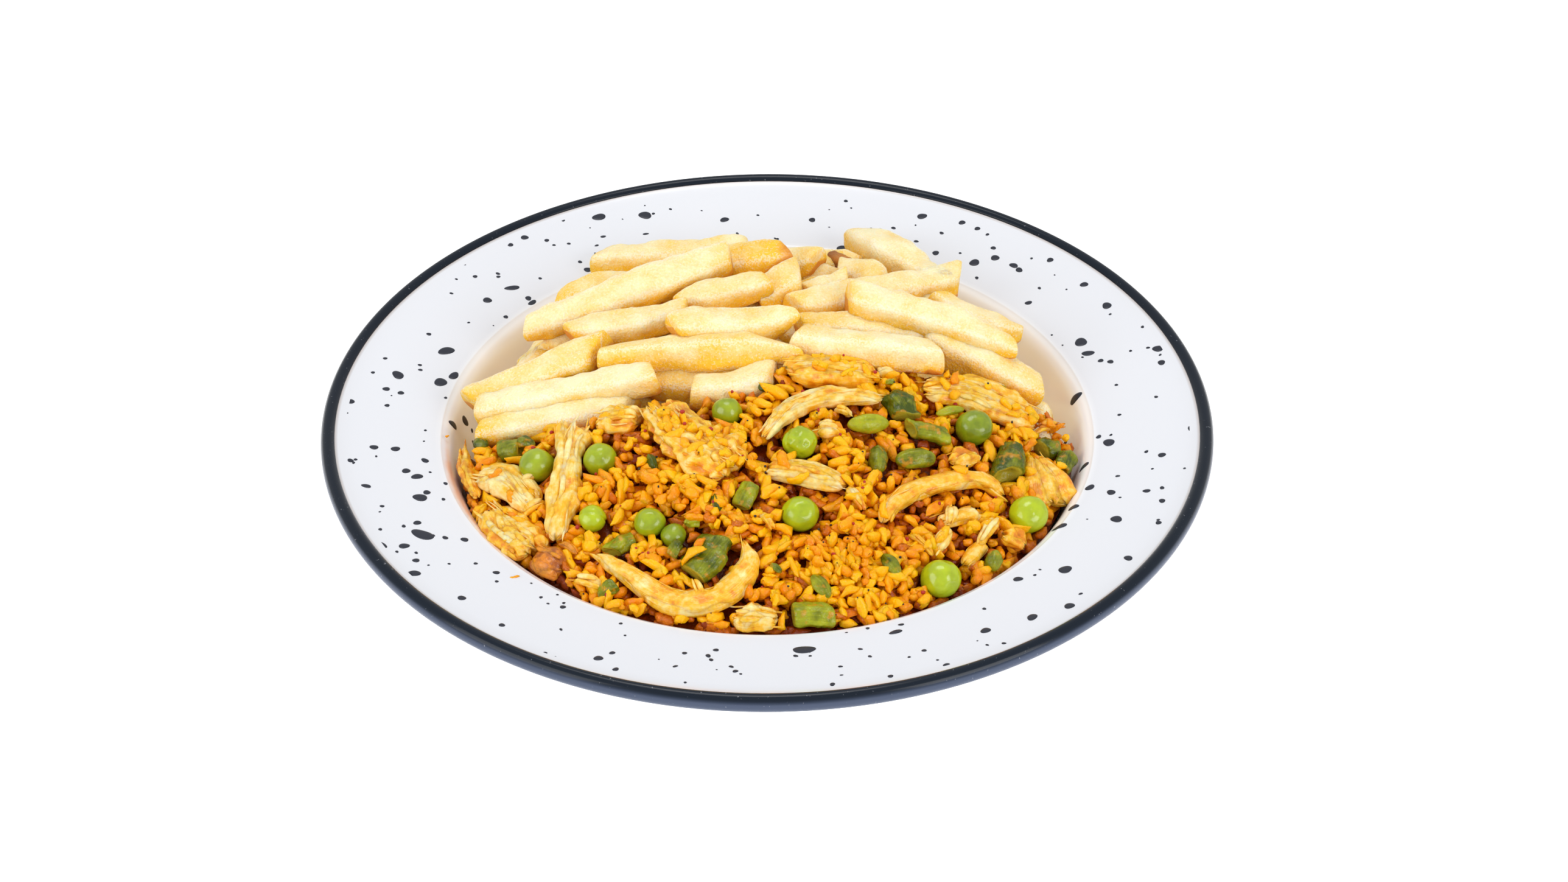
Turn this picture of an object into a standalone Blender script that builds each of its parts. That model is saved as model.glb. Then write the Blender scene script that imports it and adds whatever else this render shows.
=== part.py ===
"""Arroz con pollo on a soup plate: yellow rice with peas, green vegetables and pulled chicken in
front, and a pile of thick-cut fries behind.

Metres, +Z up. The origin is the middle of the foot, +X points right and +Y to the fries.
Sizes and places are written in millimetres, and each finished mesh is scaled by MM.
"""

import math

import bmesh
import bpy
from mathutils import Matrix, Vector, noise

MM = 0.001
GAP = 0.3

# Plate
PLATE_RADIUS = 125.0
BEAD_RADIUS = 2.0
BEAD_HALF_HEIGHT = 2.4
BEAD_HEIGHT = 34.95
LIP_RADIUS = 91.75
LIP_HEIGHT = 29.9
FLOOR_RADIUS = 66.0
FLOOR_HEIGHT = 5.0
UNDERSIDE_HEIGHT = 1.6
FOOT_INNER_RADIUS = 58.0
FOOT_OUTER_RADIUS = 63.0
PLATE_STEPS = 40

# Heaps
HEAP_REACH = 91.0
RICE_PEAK = 46.0
HEAP_COLUMNS = 43
RICE_ROWS = 22
FRIES_ROWS = 8
CLUMP_HEIGHT = 1.8
CLUMP_SIZE = 10.0
GRAIN_HEIGHT = 2.2
GRAIN_SIZE = 2.7
FRY_END_CROWDING = 0.22
FLAT_ANGLE = 1.2
FRIES_PEAK = 50.0
FRIES_CORE_DEPTH = 2.5
FRIES_AT_WALL = 16.0
FRIES_SLOPE = 1.1

# Fries: start, end and width
FRIES = (
    ((-51, 77, 35.5), (-5, 64, 45), 10.2),
    ((-69, 29, 40.5), (-11, 52, 52), 10.2),
    ((-23, 59, 44), (6, 57, 48), 10.6),
    ((-20, 66, 40), (15, 63, 43), 10.2),
    ((28, 86, 36.5), (52, 51, 41), 10.2),
    ((7, 32, 47), (57, 56, 42), 9.6),
    ((23, 30, 52), (71, 20, 43), 10.2),
    ((46, 22, 43), (77, 9, 34), 9.6),
    ((8, 11, 49), (48, 9, 46), 10.2),
    ((9, 22, 47), (51, 24, 42), 9.0),
    ((-27, 16, 51), (8, 20, 52), 10.2),
    ((-47, 10, 46), (9, 8, 50), 9.6),
    ((-57, 23, 43), (-23, 29, 48), 9.0),
    ((-26, 35, 46), (0, 39, 51), 9.0),
    ((-2, 37, 46), (11, 48, 49), 9.6),
    ((11, 42, 45), (24, 49, 46), 8.6),
    ((22, 62, 41), (33, 50, 42), 9.0),
    ((-62, 46, 39), (-36, 50, 43), 9.0),
    ((-84, 4, 32.5), (-47, 12, 46), 9.6),
    ((-81, -1, 34), (-31, -2, 47), 9.6),
    ((-80, -7, 31.5), (-38, -8, 41), 9.6),
    ((-21, -5, 44), (2, -2, 45.5), 10.2),
    ((-34, 4, 41), (-6, 6, 43), 9.0),
    ((49, 41, 44), (73, 30, 38), 9.0),
    ((-60, 46, 31), (-40, 66, 31), 9.6),
    ((-36, 72, 28), (6, 75, 30), 9.6),
    ((0, 70, 36), (27, 70, 35.5), 9.6),
    ((44, 62, 30), (63, 45, 30), 9.0),
    ((19, 79, 32.5), (27, 70, 34), 5.0),
)

# Peas: place in plan, radius and how far the middle stands above the rice
PEAS = (
    ((-63, -28), 5.0, 2.4),
    ((-45.5, -30), 4.8, 2.4),
    ((-46.5, -51.5), 3.8, 1.8),
    ((-31, -55), 4.2, 2.0),
    ((-24.5, -59), 3.5, 1.2),
    ((-11, -17.5), 4.2, 1.8),
    ((9, -30), 4.8, 2.4),
    ((9, -54), 5.0, 2.0),
    ((57.5, -14), 5.3, 2.4),
    ((71, -41.5), 5.4, 2.6),
    ((46, -68.5), 5.5, 2.4),
)

# Green vegetables: start and end in plan, width, thickness and lift above the rice
GREENS = (
    ((-74, -17), (-68, -18), 6.5, 5.0, 1.5),
    ((-41, -62), (-35, -59), 5.5, 4.5, 0.8),
    ((-19, -72), (-13, -62), 11.0, 5.0, 1.6),
    ((-7, -51), (-4, -45), 5.5, 4.0, 1.2),
    ((34, -7.5), (39, -14), 8.0, 5.0, 2.0),
    ((39.5, -19), (49.5, -19.5), 6.5, 5.0, 2.0),
    ((30, -37), (30.5, -27.5), 5.2, 4.5, 1.0),
    ((35, -32.5), (46, -29), 6.0, 5.0, 2.0),
    ((66, -28), (68.5, -16.5), 8.5, 6.5, 2.2),
    ((82.5, -18.5), (84, -12.5), 5.5, 5.0, 1.2),
    ((77, -11.5), (81.5, -8), 5.5, 5.0, 0.8),
    ((22, -22.5), (33.5, -19), 6.2, 5.2, 2.4),
    ((7, -84), (17, -83.5), 7.0, 6.0, 1.8),
)

# Pulled chicken: route in plan, width, thickness and lift above the rice
CHICKEN = (
    (((-85.5, -9), (-83.5, -22), (-79.5, -34)), 3.4, 3.4, 2.6),
    (((-78, -27), (-71, -32), (-63.5, -42)), 6.0, 4.6, 2.4),
    (((-74, -42), (-68, -50), (-62, -57)), 7.0, 4.6, 1.8),
    (((-60, -60), (-54.5, -65)), 7.0, 6.0, 1.6),
    (((-53, -17), (-54, -28), (-55, -42), (-57, -54)), 6.6, 5.0, 2.6),
    (((-46, -16.5), (-35.5, -18)), 7.0, 6.0, 2.4),
    (((-30, -14.5), (-21, -29), (-8, -41)), 12.0, 6.0, 2.6),
    (((-45, -63), (-38, -69), (-24, -79.5), (-12, -79.5), (-5, -71), (-6, -64)), 5.0, 4.4, 2.4),
    (((-6, -85), (2, -85.5)), 6.5, 4.0, 1.6),
    (((6, -2.5), (18, 0), (31, 0)), 8.5, 6.5, 3.0),
    (((-1, -29), (6, -18), (17, -11.5), (31, -10)), 5.6, 4.6, 2.8),
    (((1, -39.5), (12, -42), (21, -44)), 7.5, 5.0, 2.0),
    (((44, -2), (58, 1), (75, -2)), 11.5, 6.0, 2.6),
    (((31, -56), (34, -48), (43, -40.5), (57, -34.5), (65, -36)), 5.0, 4.2, 2.8),
    (((50, -29), (57.5, -24.5)), 6.0, 5.0, 2.0),
    (((75.5, -20.5), (77.5, -26.5), (79, -33)), 8.5, 4.4, 2.2),
    (((45.5, -51), (57, -44)), 5.0, 3.6, 1.2),
    (((52, -62), (58, -53.5)), 4.2, 3.4, 1.0),
    (((63.5, -50.5), (69, -52)), 6.0, 5.0, 1.8),
)


def clear_scene():
    """Remove whatever the file holds."""
    for obj in list(bpy.data.objects):
        bpy.data.objects.remove(obj, do_unlink=True)


def new_collection(name):
    """Make a collection in the scene."""
    group = bpy.data.collections.new(name)
    bpy.context.scene.collection.children.link(group)
    return group


def finish(name, colour, roughness, coat=0.0):
    """Make a plain material."""
    made = bpy.data.materials.new(name)
    made.use_nodes = True
    shader = made.node_tree.nodes["Principled BSDF"]
    shader.inputs["Base Color"].default_value = (*colour, 1.0)
    shader.inputs["Roughness"].default_value = roughness
    shader.inputs["Metallic"].default_value = 0.0
    shader.inputs["Coat Weight"].default_value = coat
    return made


def to_object(name, bm, group):
    """Turn an edit mesh, in millimetres, into an object in metres."""
    bmesh.ops.scale(bm, vec=(MM, MM, MM), verts=bm.verts)
    mesh = bpy.data.meshes.new(name)
    bm.to_mesh(mesh)
    bm.free()
    obj = bpy.data.objects.new(name, mesh)
    group.objects.link(obj)
    return obj


def dress(obj, material, smooth_angle=40.0):
    """Give an object its one material, and shade its round stretches smooth."""
    obj.data.materials.clear()
    obj.data.materials.append(material)
    obj.data.shade_smooth()
    obj.data.set_sharp_from_angle(angle=math.radians(smooth_angle))


def as_guide(obj):
    """Mark a cutter as one that is only seen as a wire."""
    obj.hide_render = True
    obj.display_type = "WIRE"
    return obj


def settle(obj):
    """Replace an object's mesh by what its modifiers make of it."""
    evaluated = obj.evaluated_get(bpy.context.evaluated_depsgraph_get())
    mesh = bpy.data.meshes.new_from_object(evaluated)
    obj.modifiers.clear()
    obj.data = mesh
    return obj


def boolean(obj, operation, operands, solver="EXACT"):
    """Join an object with a collection of solids, or cut it by them, and remove those."""
    modifier = obj.modifiers.new(operation.lower(), "BOOLEAN")
    modifier.operation = operation
    modifier.solver = solver
    modifier.operand_type = "COLLECTION"
    modifier.collection = operands
    settle(obj)
    for used in list(operands.objects):
        bpy.data.objects.remove(used, do_unlink=True)
    bpy.data.collections.remove(operands)


def keep_main_body(obj):
    """Drop loose scraps, fill sealed hollows and join faces that lie almost in one plane."""
    bm = bmesh.new()
    bm.from_mesh(obj.data)
    unseen = set(bm.faces)
    shells = []
    while unseen:
        front = [unseen.pop()]
        shell = []
        while front:
            face = front.pop()
            shell.append(face)
            for edge in face.edges:
                for other in edge.link_faces:
                    if other in unseen:
                        unseen.discard(other)
                        front.append(other)
        shells.append(shell)
    shells.sort(key=len)
    loose = [face for shell in shells[:-1] for face in shell]
    bmesh.ops.delete(bm, geom=loose, context="FACES")
    bmesh.ops.dissolve_limit(bm, angle_limit=math.radians(FLAT_ANGLE), verts=bm.verts, edges=bm.edges)
    bmesh.ops.triangulate(bm, faces=bm.faces[:])
    bm.to_mesh(obj.data)
    bm.free()


def turned(name, section, steps, group):
    """Turn a section about Z. It starts on the axis, runs down the outer side and ends on the axis."""
    bm = bmesh.new()
    points = [bm.verts.new((radius, 0.0, height)) for radius, height in section]
    for upper, lower in zip(points, points[1:]):
        bm.edges.new((upper, lower))
    obj = to_object(name, bm, group)
    screw = obj.modifiers.new("turn", "SCREW")
    screw.steps = steps
    screw.render_steps = steps
    screw.use_merge_vertices = True
    screw.merge_threshold = 0.01 * MM
    return settle(obj)


def well_section(clearance=0.0):
    """The inside of the well from its middle up to the lip, or that moved into the well."""
    wall = (
        (FLOOR_RADIUS, FLOOR_HEIGHT),
        (73.5, 6.4),
        (79.5, 9.8),
        (84.0, 15.5),
        (87.2, 22.0),
        (89.5, 27.6),
        (LIP_RADIUS, LIP_HEIGHT),
    )
    return [(0.0, FLOOR_HEIGHT + clearance)] + [(r - clearance, z + clearance) for r, z in wall]


def bead_section():
    """The rolled edge of the rim, from its inner foot over the top to its underside."""
    middle = PLATE_RADIUS - BEAD_RADIUS
    turns = [math.radians(angle) for angle in range(150, -151, -50)]
    return [
        (middle + BEAD_RADIUS * math.cos(turn), BEAD_HEIGHT + BEAD_HALF_HEIGHT * math.sin(turn))
        for turn in turns
    ]


def make_plate(group):
    """The soup plate: a deep well, a wide rim that rises to a rolled bead, and a foot ring."""
    rim = [(94.0, 30.7), (106.0, 32.8), (118.5, 35.2)]
    under = [
        (118.5, 32.0),
        (96.0, 27.2),
        (92.8, 23.6),
        (88.0, 13.0),
        (82.5, 6.2),
        (75.0, 3.0),
        (FOOT_OUTER_RADIUS + 1.0, UNDERSIDE_HEIGHT),
        (FOOT_OUTER_RADIUS, 0.0),
        (FOOT_INNER_RADIUS, 0.0),
        (FOOT_INNER_RADIUS - 1.0, UNDERSIDE_HEIGHT),
        (0.0, UNDERSIDE_HEIGHT),
    ]
    section = well_section() + rim + bead_section() + under
    plate = turned("plate", section, PLATE_STEPS, group)
    dress(plate, finish("white_glaze", (0.84, 0.87, 0.92), 0.12, coat=0.5), smooth_angle=50.0)
    return plate


def make_well_plug(name, group):
    """The space that food can fill, just inside the well."""
    inside = well_section(clearance=GAP)
    ceiling = 70.0
    section = [(0.0, ceiling), (inside[-1][0], ceiling)] + inside[::-1]
    return as_guide(turned(name, section, PLATE_STEPS, group))


def smooth_step(value):
    """Rise from 0 to 1 as a value does, with level ends."""
    value = min(max(value, 0.0), 1.0)
    return value * value * (3.0 - 2.0 * value)


def dividing_line(x):
    """Where the rice ends and the fries begin, as a distance along Y for each place across."""
    left = -9.0 + 0.06 * x
    right = 9.0 - 25.0 * max((x - 20.0) / 68.0, 0.0) ** 12
    return left + (right - left) * smooth_step((x + 2.0) / 10.0)


def rice_ground(x, y):
    """The rice without its grains: a low dome, uneven in clumps."""
    dome = RICE_PEAK - 22.0 * ((x + 2.0) / 90.0) ** 2 - 18.0 * ((y - 5.0) / 90.0) ** 2
    return dome + CLUMP_HEIGHT * noise.noise(Vector((x, y, 0.0)) / CLUMP_SIZE)


def rice_surface(x, y):
    """The top of the rice, with bumps the size of its grains."""
    return rice_ground(x, y) + GRAIN_HEIGHT * noise.noise(Vector((x, y, 40.0)) / GRAIN_SIZE)


def fries_surface(x, y):
    """The level at which the middle of the topmost fries lies, falling to the wall at the back."""
    pile = FRIES_PEAK - 13.0 * (x / 80.0) ** 2 - 9.0 * ((y - 35.0) / 50.0) ** 2
    slope = FRIES_AT_WALL + FRIES_SLOPE * (HEAP_REACH - math.hypot(x, y))
    return min(pile, slope)


def fries_core_surface(x, y):
    """The top of the core on which the fries that show lie."""
    return fries_surface(x, y) - FRIES_CORE_DEPTH


def heap(name, top, near, far, rows, group):
    """A block of food between two lines across the plate, with its upper face at top(x, y)."""
    bm = bmesh.new()
    bmesh.ops.create_grid(bm, x_segments=HEAP_COLUMNS, y_segments=rows, size=0.5)
    bmesh.ops.triangulate(bm, faces=bm.faces[:])
    for vert in bm.verts:
        x = 2.0 * HEAP_REACH * vert.co.x
        share = vert.co.y + 0.5
        y = near(x) + (far(x) - near(x)) * share
        vert.co = (x, y, top(x, y))
    lower = bmesh.ops.extrude_face_region(bm, geom=bm.faces[:], use_keep_orig=True)
    for item in lower["geom"]:
        if isinstance(item, bmesh.types.BMVert):
            item.co.z = 0.0
    bmesh.ops.recalc_face_normals(bm, faces=bm.faces[:])
    return to_object(name, bm, group)


def route_point(route, share):
    """A point and a direction on the smooth curve through a route's points."""
    spans = len(route) - 1
    place = min(max(share, 0.0), 1.0) * spans
    index = min(int(place), spans - 1)
    t = place - index
    b, c = route[index], route[index + 1]
    a = route[index - 1] if index > 0 else b + (b - c)
    d = route[index + 2] if index + 2 <= spans else c + (c - b)
    linear = c - a
    square = 2.0 * a - 5.0 * b + 4.0 * c - d
    cube = 3.0 * b - a - 3.0 * c + d
    point = b + 0.5 * (linear * t + square * t**2 + cube * t**3)
    slope = linear + 2.0 * square * t + 3.0 * cube * t**2
    return point, slope.normalized()


def bar(name, route, width, thickness, cuts, tip, group, rounding=0.28, wave=0.0, crowd=1.0, swell=0.0):
    """A bar with bevelled long edges, bent along a route, narrowed to tip at both ends and a
    little uneven. crowd under 1 moves its cross cuts to the ends. swell makes it larger all
    round and leaves its edges square, for cutting a bed with clearance."""
    route = [Vector(point) for point in route]
    bm = bmesh.new()
    bmesh.ops.create_cube(bm, size=1.0)
    lengthwise = [e for e in bm.edges if abs(e.verts[0].co.x - e.verts[1].co.x) > 0.5]
    bmesh.ops.subdivide_edges(bm, edges=lengthwise, cuts=cuts)
    lengthwise = [e for e in bm.edges if abs(e.verts[0].co.x - e.verts[1].co.x) > 0.01]
    if not swell:
        bmesh.ops.bevel(bm, geom=lengthwise, offset=rounding, segments=1, affect="EDGES")
    for vert in bm.verts:
        off_middle = 2.0 * vert.co.x
        off_middle = math.copysign(abs(off_middle) ** crowd, off_middle)
        share = 0.5 + 0.5 * off_middle
        point, along = route_point(route, share)
        side = along.cross(Vector((0.0, 0.0, 1.0))).normalized()
        up = side.cross(along)
        narrowing = 1.0 - (1.0 - tip) * abs(off_middle) ** 4
        wider = 1.0 + wave * noise.noise(point * 0.16)
        thicker = 1.0 + wave * noise.noise(point * 0.16 + Vector((30.0, 0.0, 0.0)))
        beside = vert.co.y * (width * narrowing * wider + 2.0 * swell)
        above = vert.co.z * (thickness * narrowing * thicker + 2.0 * swell)
        beyond = off_middle * swell if abs(off_middle) > 0.999 else 0.0
        vert.co = point + side * beside + up * above + along * beyond
    bmesh.ops.triangulate(bm, faces=bm.faces[:])
    bmesh.ops.recalc_face_normals(bm, faces=bm.faces[:])
    return to_object(name, bm, group)


def fry(name, index, group, swell=0.0):
    """One thick-cut fry, a rounded square bar with a slight bow."""
    start, end, width = FRIES[index]
    start, end = Vector(start), Vector(end)
    bow = 0.6 * math.sin(2.4 * index)
    middle = (start + end) / 2.0 + Vector((0.0, 0.0, bow))
    route = (start, middle, end)
    return bar(name, route, width, 0.92 * width, 2, 0.8, group, 0.26, 0.14, FRY_END_CROWDING, swell)


def pea(name, index, group, swell=0.0):
    """One pea, a slightly flattened ball half sunk in the rice."""
    (x, y), radius, lift = PEAS[index]
    bm = bmesh.new()
    bmesh.ops.create_icosphere(bm, subdivisions=2, radius=radius + swell)
    bmesh.ops.scale(bm, vec=(1.0, 0.97, 0.94), verts=bm.verts)
    place = Matrix.Translation((x, y, rice_ground(x, y) + lift))
    bmesh.ops.transform(bm, matrix=place @ Matrix.Rotation(0.7 * index, 4, "Z"), verts=bm.verts)
    return to_object(name, bm, group)


def on_rice(route, lift):
    """Lay a route in plan on the rice."""
    return [(x, y, rice_ground(x, y) + lift) for x, y in route]


def green(name, index, group, swell=0.0):
    """One cut piece of bean or green pepper."""
    start, end, width, thickness, lift = GREENS[index]
    return bar(name, on_rice((start, end), lift), width, thickness, 2, 0.72, group, 0.28, 0.2, 0.5, swell)


def chicken(name, index, group, swell=0.0):
    """One pulled strip or chunk of chicken."""
    route, width, thickness, lift = CHICKEN[index]
    cuts = 2 * len(route) - 3
    return bar(name, on_rice(route, lift), width, thickness, cuts, 0.5, group, 0.26, 0.4, 1.0, swell)


def fry_reaches_rice(index):
    """Whether a fry comes near the rice."""
    start, end, width = FRIES[index]
    return any(y - width < dividing_line(x) for x, y, _ in (start, end))


def make_fries(group):
    """The pile of fries, as one solid: the fries that show, joined on a core."""
    def near(x):
        return dividing_line(x) + GAP / 2.0

    def far(x):
        return HEAP_REACH

    core = heap("fries", fries_core_surface, near, far, FRIES_ROWS, group)
    plug = new_collection("fries_well")
    make_well_plug("fries_well", plug)
    boolean(core, "INTERSECT", plug)
    pile = new_collection("fries_pile")
    for index in range(len(FRIES)):
        fry(f"fry_{index + 1:02d}", index, pile)
    boolean(core, "UNION", pile)
    keep_main_body(core)
    dress(core, finish("fried_potato", (0.90, 0.68, 0.30), 0.55), smooth_angle=30.0)
    return core


def make_rice(group):
    """The bed of rice, bumpy on top, fitted to the well and hollowed where the toppings lie."""
    def near(x):
        return -HEAP_REACH

    def far(x):
        return dividing_line(x) - GAP / 2.0

    rice = heap("rice", rice_surface, near, far, RICE_ROWS, group)
    plug = new_collection("rice_well")
    make_well_plug("rice_well", plug)
    boolean(rice, "INTERSECT", plug)
    beds = new_collection("rice_beds")
    for maker, count in ((pea, len(PEAS)), (green, len(GREENS)), (chicken, len(CHICKEN))):
        for index in range(count):
            as_guide(maker(f"{maker.__name__}_bed_{index + 1:02d}", index, beds, swell=GAP))
    for index in range(len(FRIES)):
        if fry_reaches_rice(index):
            as_guide(fry(f"fry_bed_{index + 1:02d}", index, beds, swell=GAP))
    boolean(rice, "DIFFERENCE", beds, solver="MANIFOLD")
    keep_main_body(rice)
    dress(rice, finish("yellow_rice", (0.80, 0.38, 0.03), 0.45), smooth_angle=20.0)
    return rice


def make_toppings(group):
    """Peas, green vegetables and chicken, each its own solid."""
    kinds = (
        ("pea", pea, len(PEAS), finish("pea_skin", (0.20, 0.38, 0.03), 0.25, coat=0.4)),
        ("green", green, len(GREENS), finish("green_vegetable", (0.09, 0.22, 0.02), 0.3, coat=0.3)),
        ("chicken", chicken, len(CHICKEN), finish("pulled_chicken", (0.85, 0.55, 0.22), 0.5)),
    )
    for name, maker, count, material in kinds:
        for index in range(count):
            dress(maker(f"{name}_{index + 1:02d}", index, group), material)


def main():
    clear_scene()
    dish = new_collection("arroz_con_pollo")
    make_plate(dish)
    make_fries(dish)
    make_rice(dish)
    make_toppings(dish)


if __name__ == "__main__":
    main()
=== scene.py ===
"""Looks of a plate of arroz con pollo: a speckled soup plate with fries, yellow rice, peas, green
vegetables and pulled chicken, fitted over the part's solids.

Sizes and places are written in millimetres, and each mesh is scaled by MM as it is made. The rice
ground, the routes and the sizes of the pieces are those of the part's source.
"""

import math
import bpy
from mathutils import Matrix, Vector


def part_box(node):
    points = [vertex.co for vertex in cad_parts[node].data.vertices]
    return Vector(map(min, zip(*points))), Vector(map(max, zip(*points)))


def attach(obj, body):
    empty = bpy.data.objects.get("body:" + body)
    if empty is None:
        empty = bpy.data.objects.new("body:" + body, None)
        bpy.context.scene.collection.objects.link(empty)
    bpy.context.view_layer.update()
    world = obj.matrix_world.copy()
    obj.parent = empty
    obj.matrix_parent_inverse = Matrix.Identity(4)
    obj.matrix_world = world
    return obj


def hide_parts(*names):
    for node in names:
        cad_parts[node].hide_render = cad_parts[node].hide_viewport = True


bl_info = {
    "name": "Plate of arroz con pollo",
    "version": (1, 0, 0),
    "blender": (4, 5, 0),
    "location": "3D View > Sidebar > Dish",
    "description": "Makes a speckled soup plate with fries, rice, peas, greens and chicken",
    "category": "Add Mesh",
}

import bmesh
import bpy
import numpy as np
from bpy.props import FloatProperty, FloatVectorProperty, IntProperty, PointerProperty
from mathutils import Vector, noise
from mathutils.bvhtree import BVHTree

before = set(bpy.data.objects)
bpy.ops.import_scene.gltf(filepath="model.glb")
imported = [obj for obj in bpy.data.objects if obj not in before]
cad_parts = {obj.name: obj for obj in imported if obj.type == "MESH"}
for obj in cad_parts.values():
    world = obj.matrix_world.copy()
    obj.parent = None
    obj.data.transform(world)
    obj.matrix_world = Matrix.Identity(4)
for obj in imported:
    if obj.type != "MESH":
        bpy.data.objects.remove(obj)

MM = 0.001
BODY = "root"
# Seeds of the random draws. Peas, greens, chicken and fries add the number of the piece to theirs.
SEEDS = {
    "plate": 3, "rice": 5, "fries": 11, "pea": 100, "green": 200, "green_scraps": 250, "chicken": 300,
    "chicken_scraps": 350, "fry": 500,
}

# Plate: the section of its upper face from the middle outwards, and of its underside back inwards
UPPER_FACE = (
    (0.0, 5.0),
    (40.0, 5.0),
    (66.0, 5.0),
    (73.5, 6.4),
    (79.5, 9.8),
    (84.0, 15.5),
    (87.2, 22.0),
    (89.5, 27.6),
    (91.75, 29.9),
    (94.0, 30.7),
    (106.0, 32.8),
    (118.5, 35.2),
)
UNDER_FACE = (
    (118.5, 32.0),
    (96.0, 27.2),
    (92.8, 23.6),
    (88.0, 13.0),
    (82.5, 6.2),
    (75.0, 3.0),
    (64.0, 1.6),
    (63.0, 0.0),
    (58.0, 0.0),
    (57.0, 1.6),
    (0.0, 1.6),
)
BEAD_MIDDLE = (123.0, 34.95)
BEAD_RADIUS = 2.0
BEAD_HALF_HEIGHT = 2.4
BAND_PROUD = 0.12
BAND_FROM, BAND_TO = 150.0, -140.0
PLATE_STEPS = 224
# Points between the rim and the rolled edge, the lip of the well over which the painted light on its wall
# fades out, and the brown line beside the edge
FOOT_OF_BEAD = [(120.3, 35.82), (120.9, 36.02)]
LIP_OF_WELL = (91.0, 93.5)
BROWN_LINE, BROWN_LINE_REACH = 121.2, 0.9
# Sauce on the wall of the well: heading in degrees and spread, radius and reach
SAUCE_HEADING, SAUCE_SPREAD = -158.0, 34.0
SAUCE_RADIUS, SAUCE_REACH = 90.5, 4.0

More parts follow.
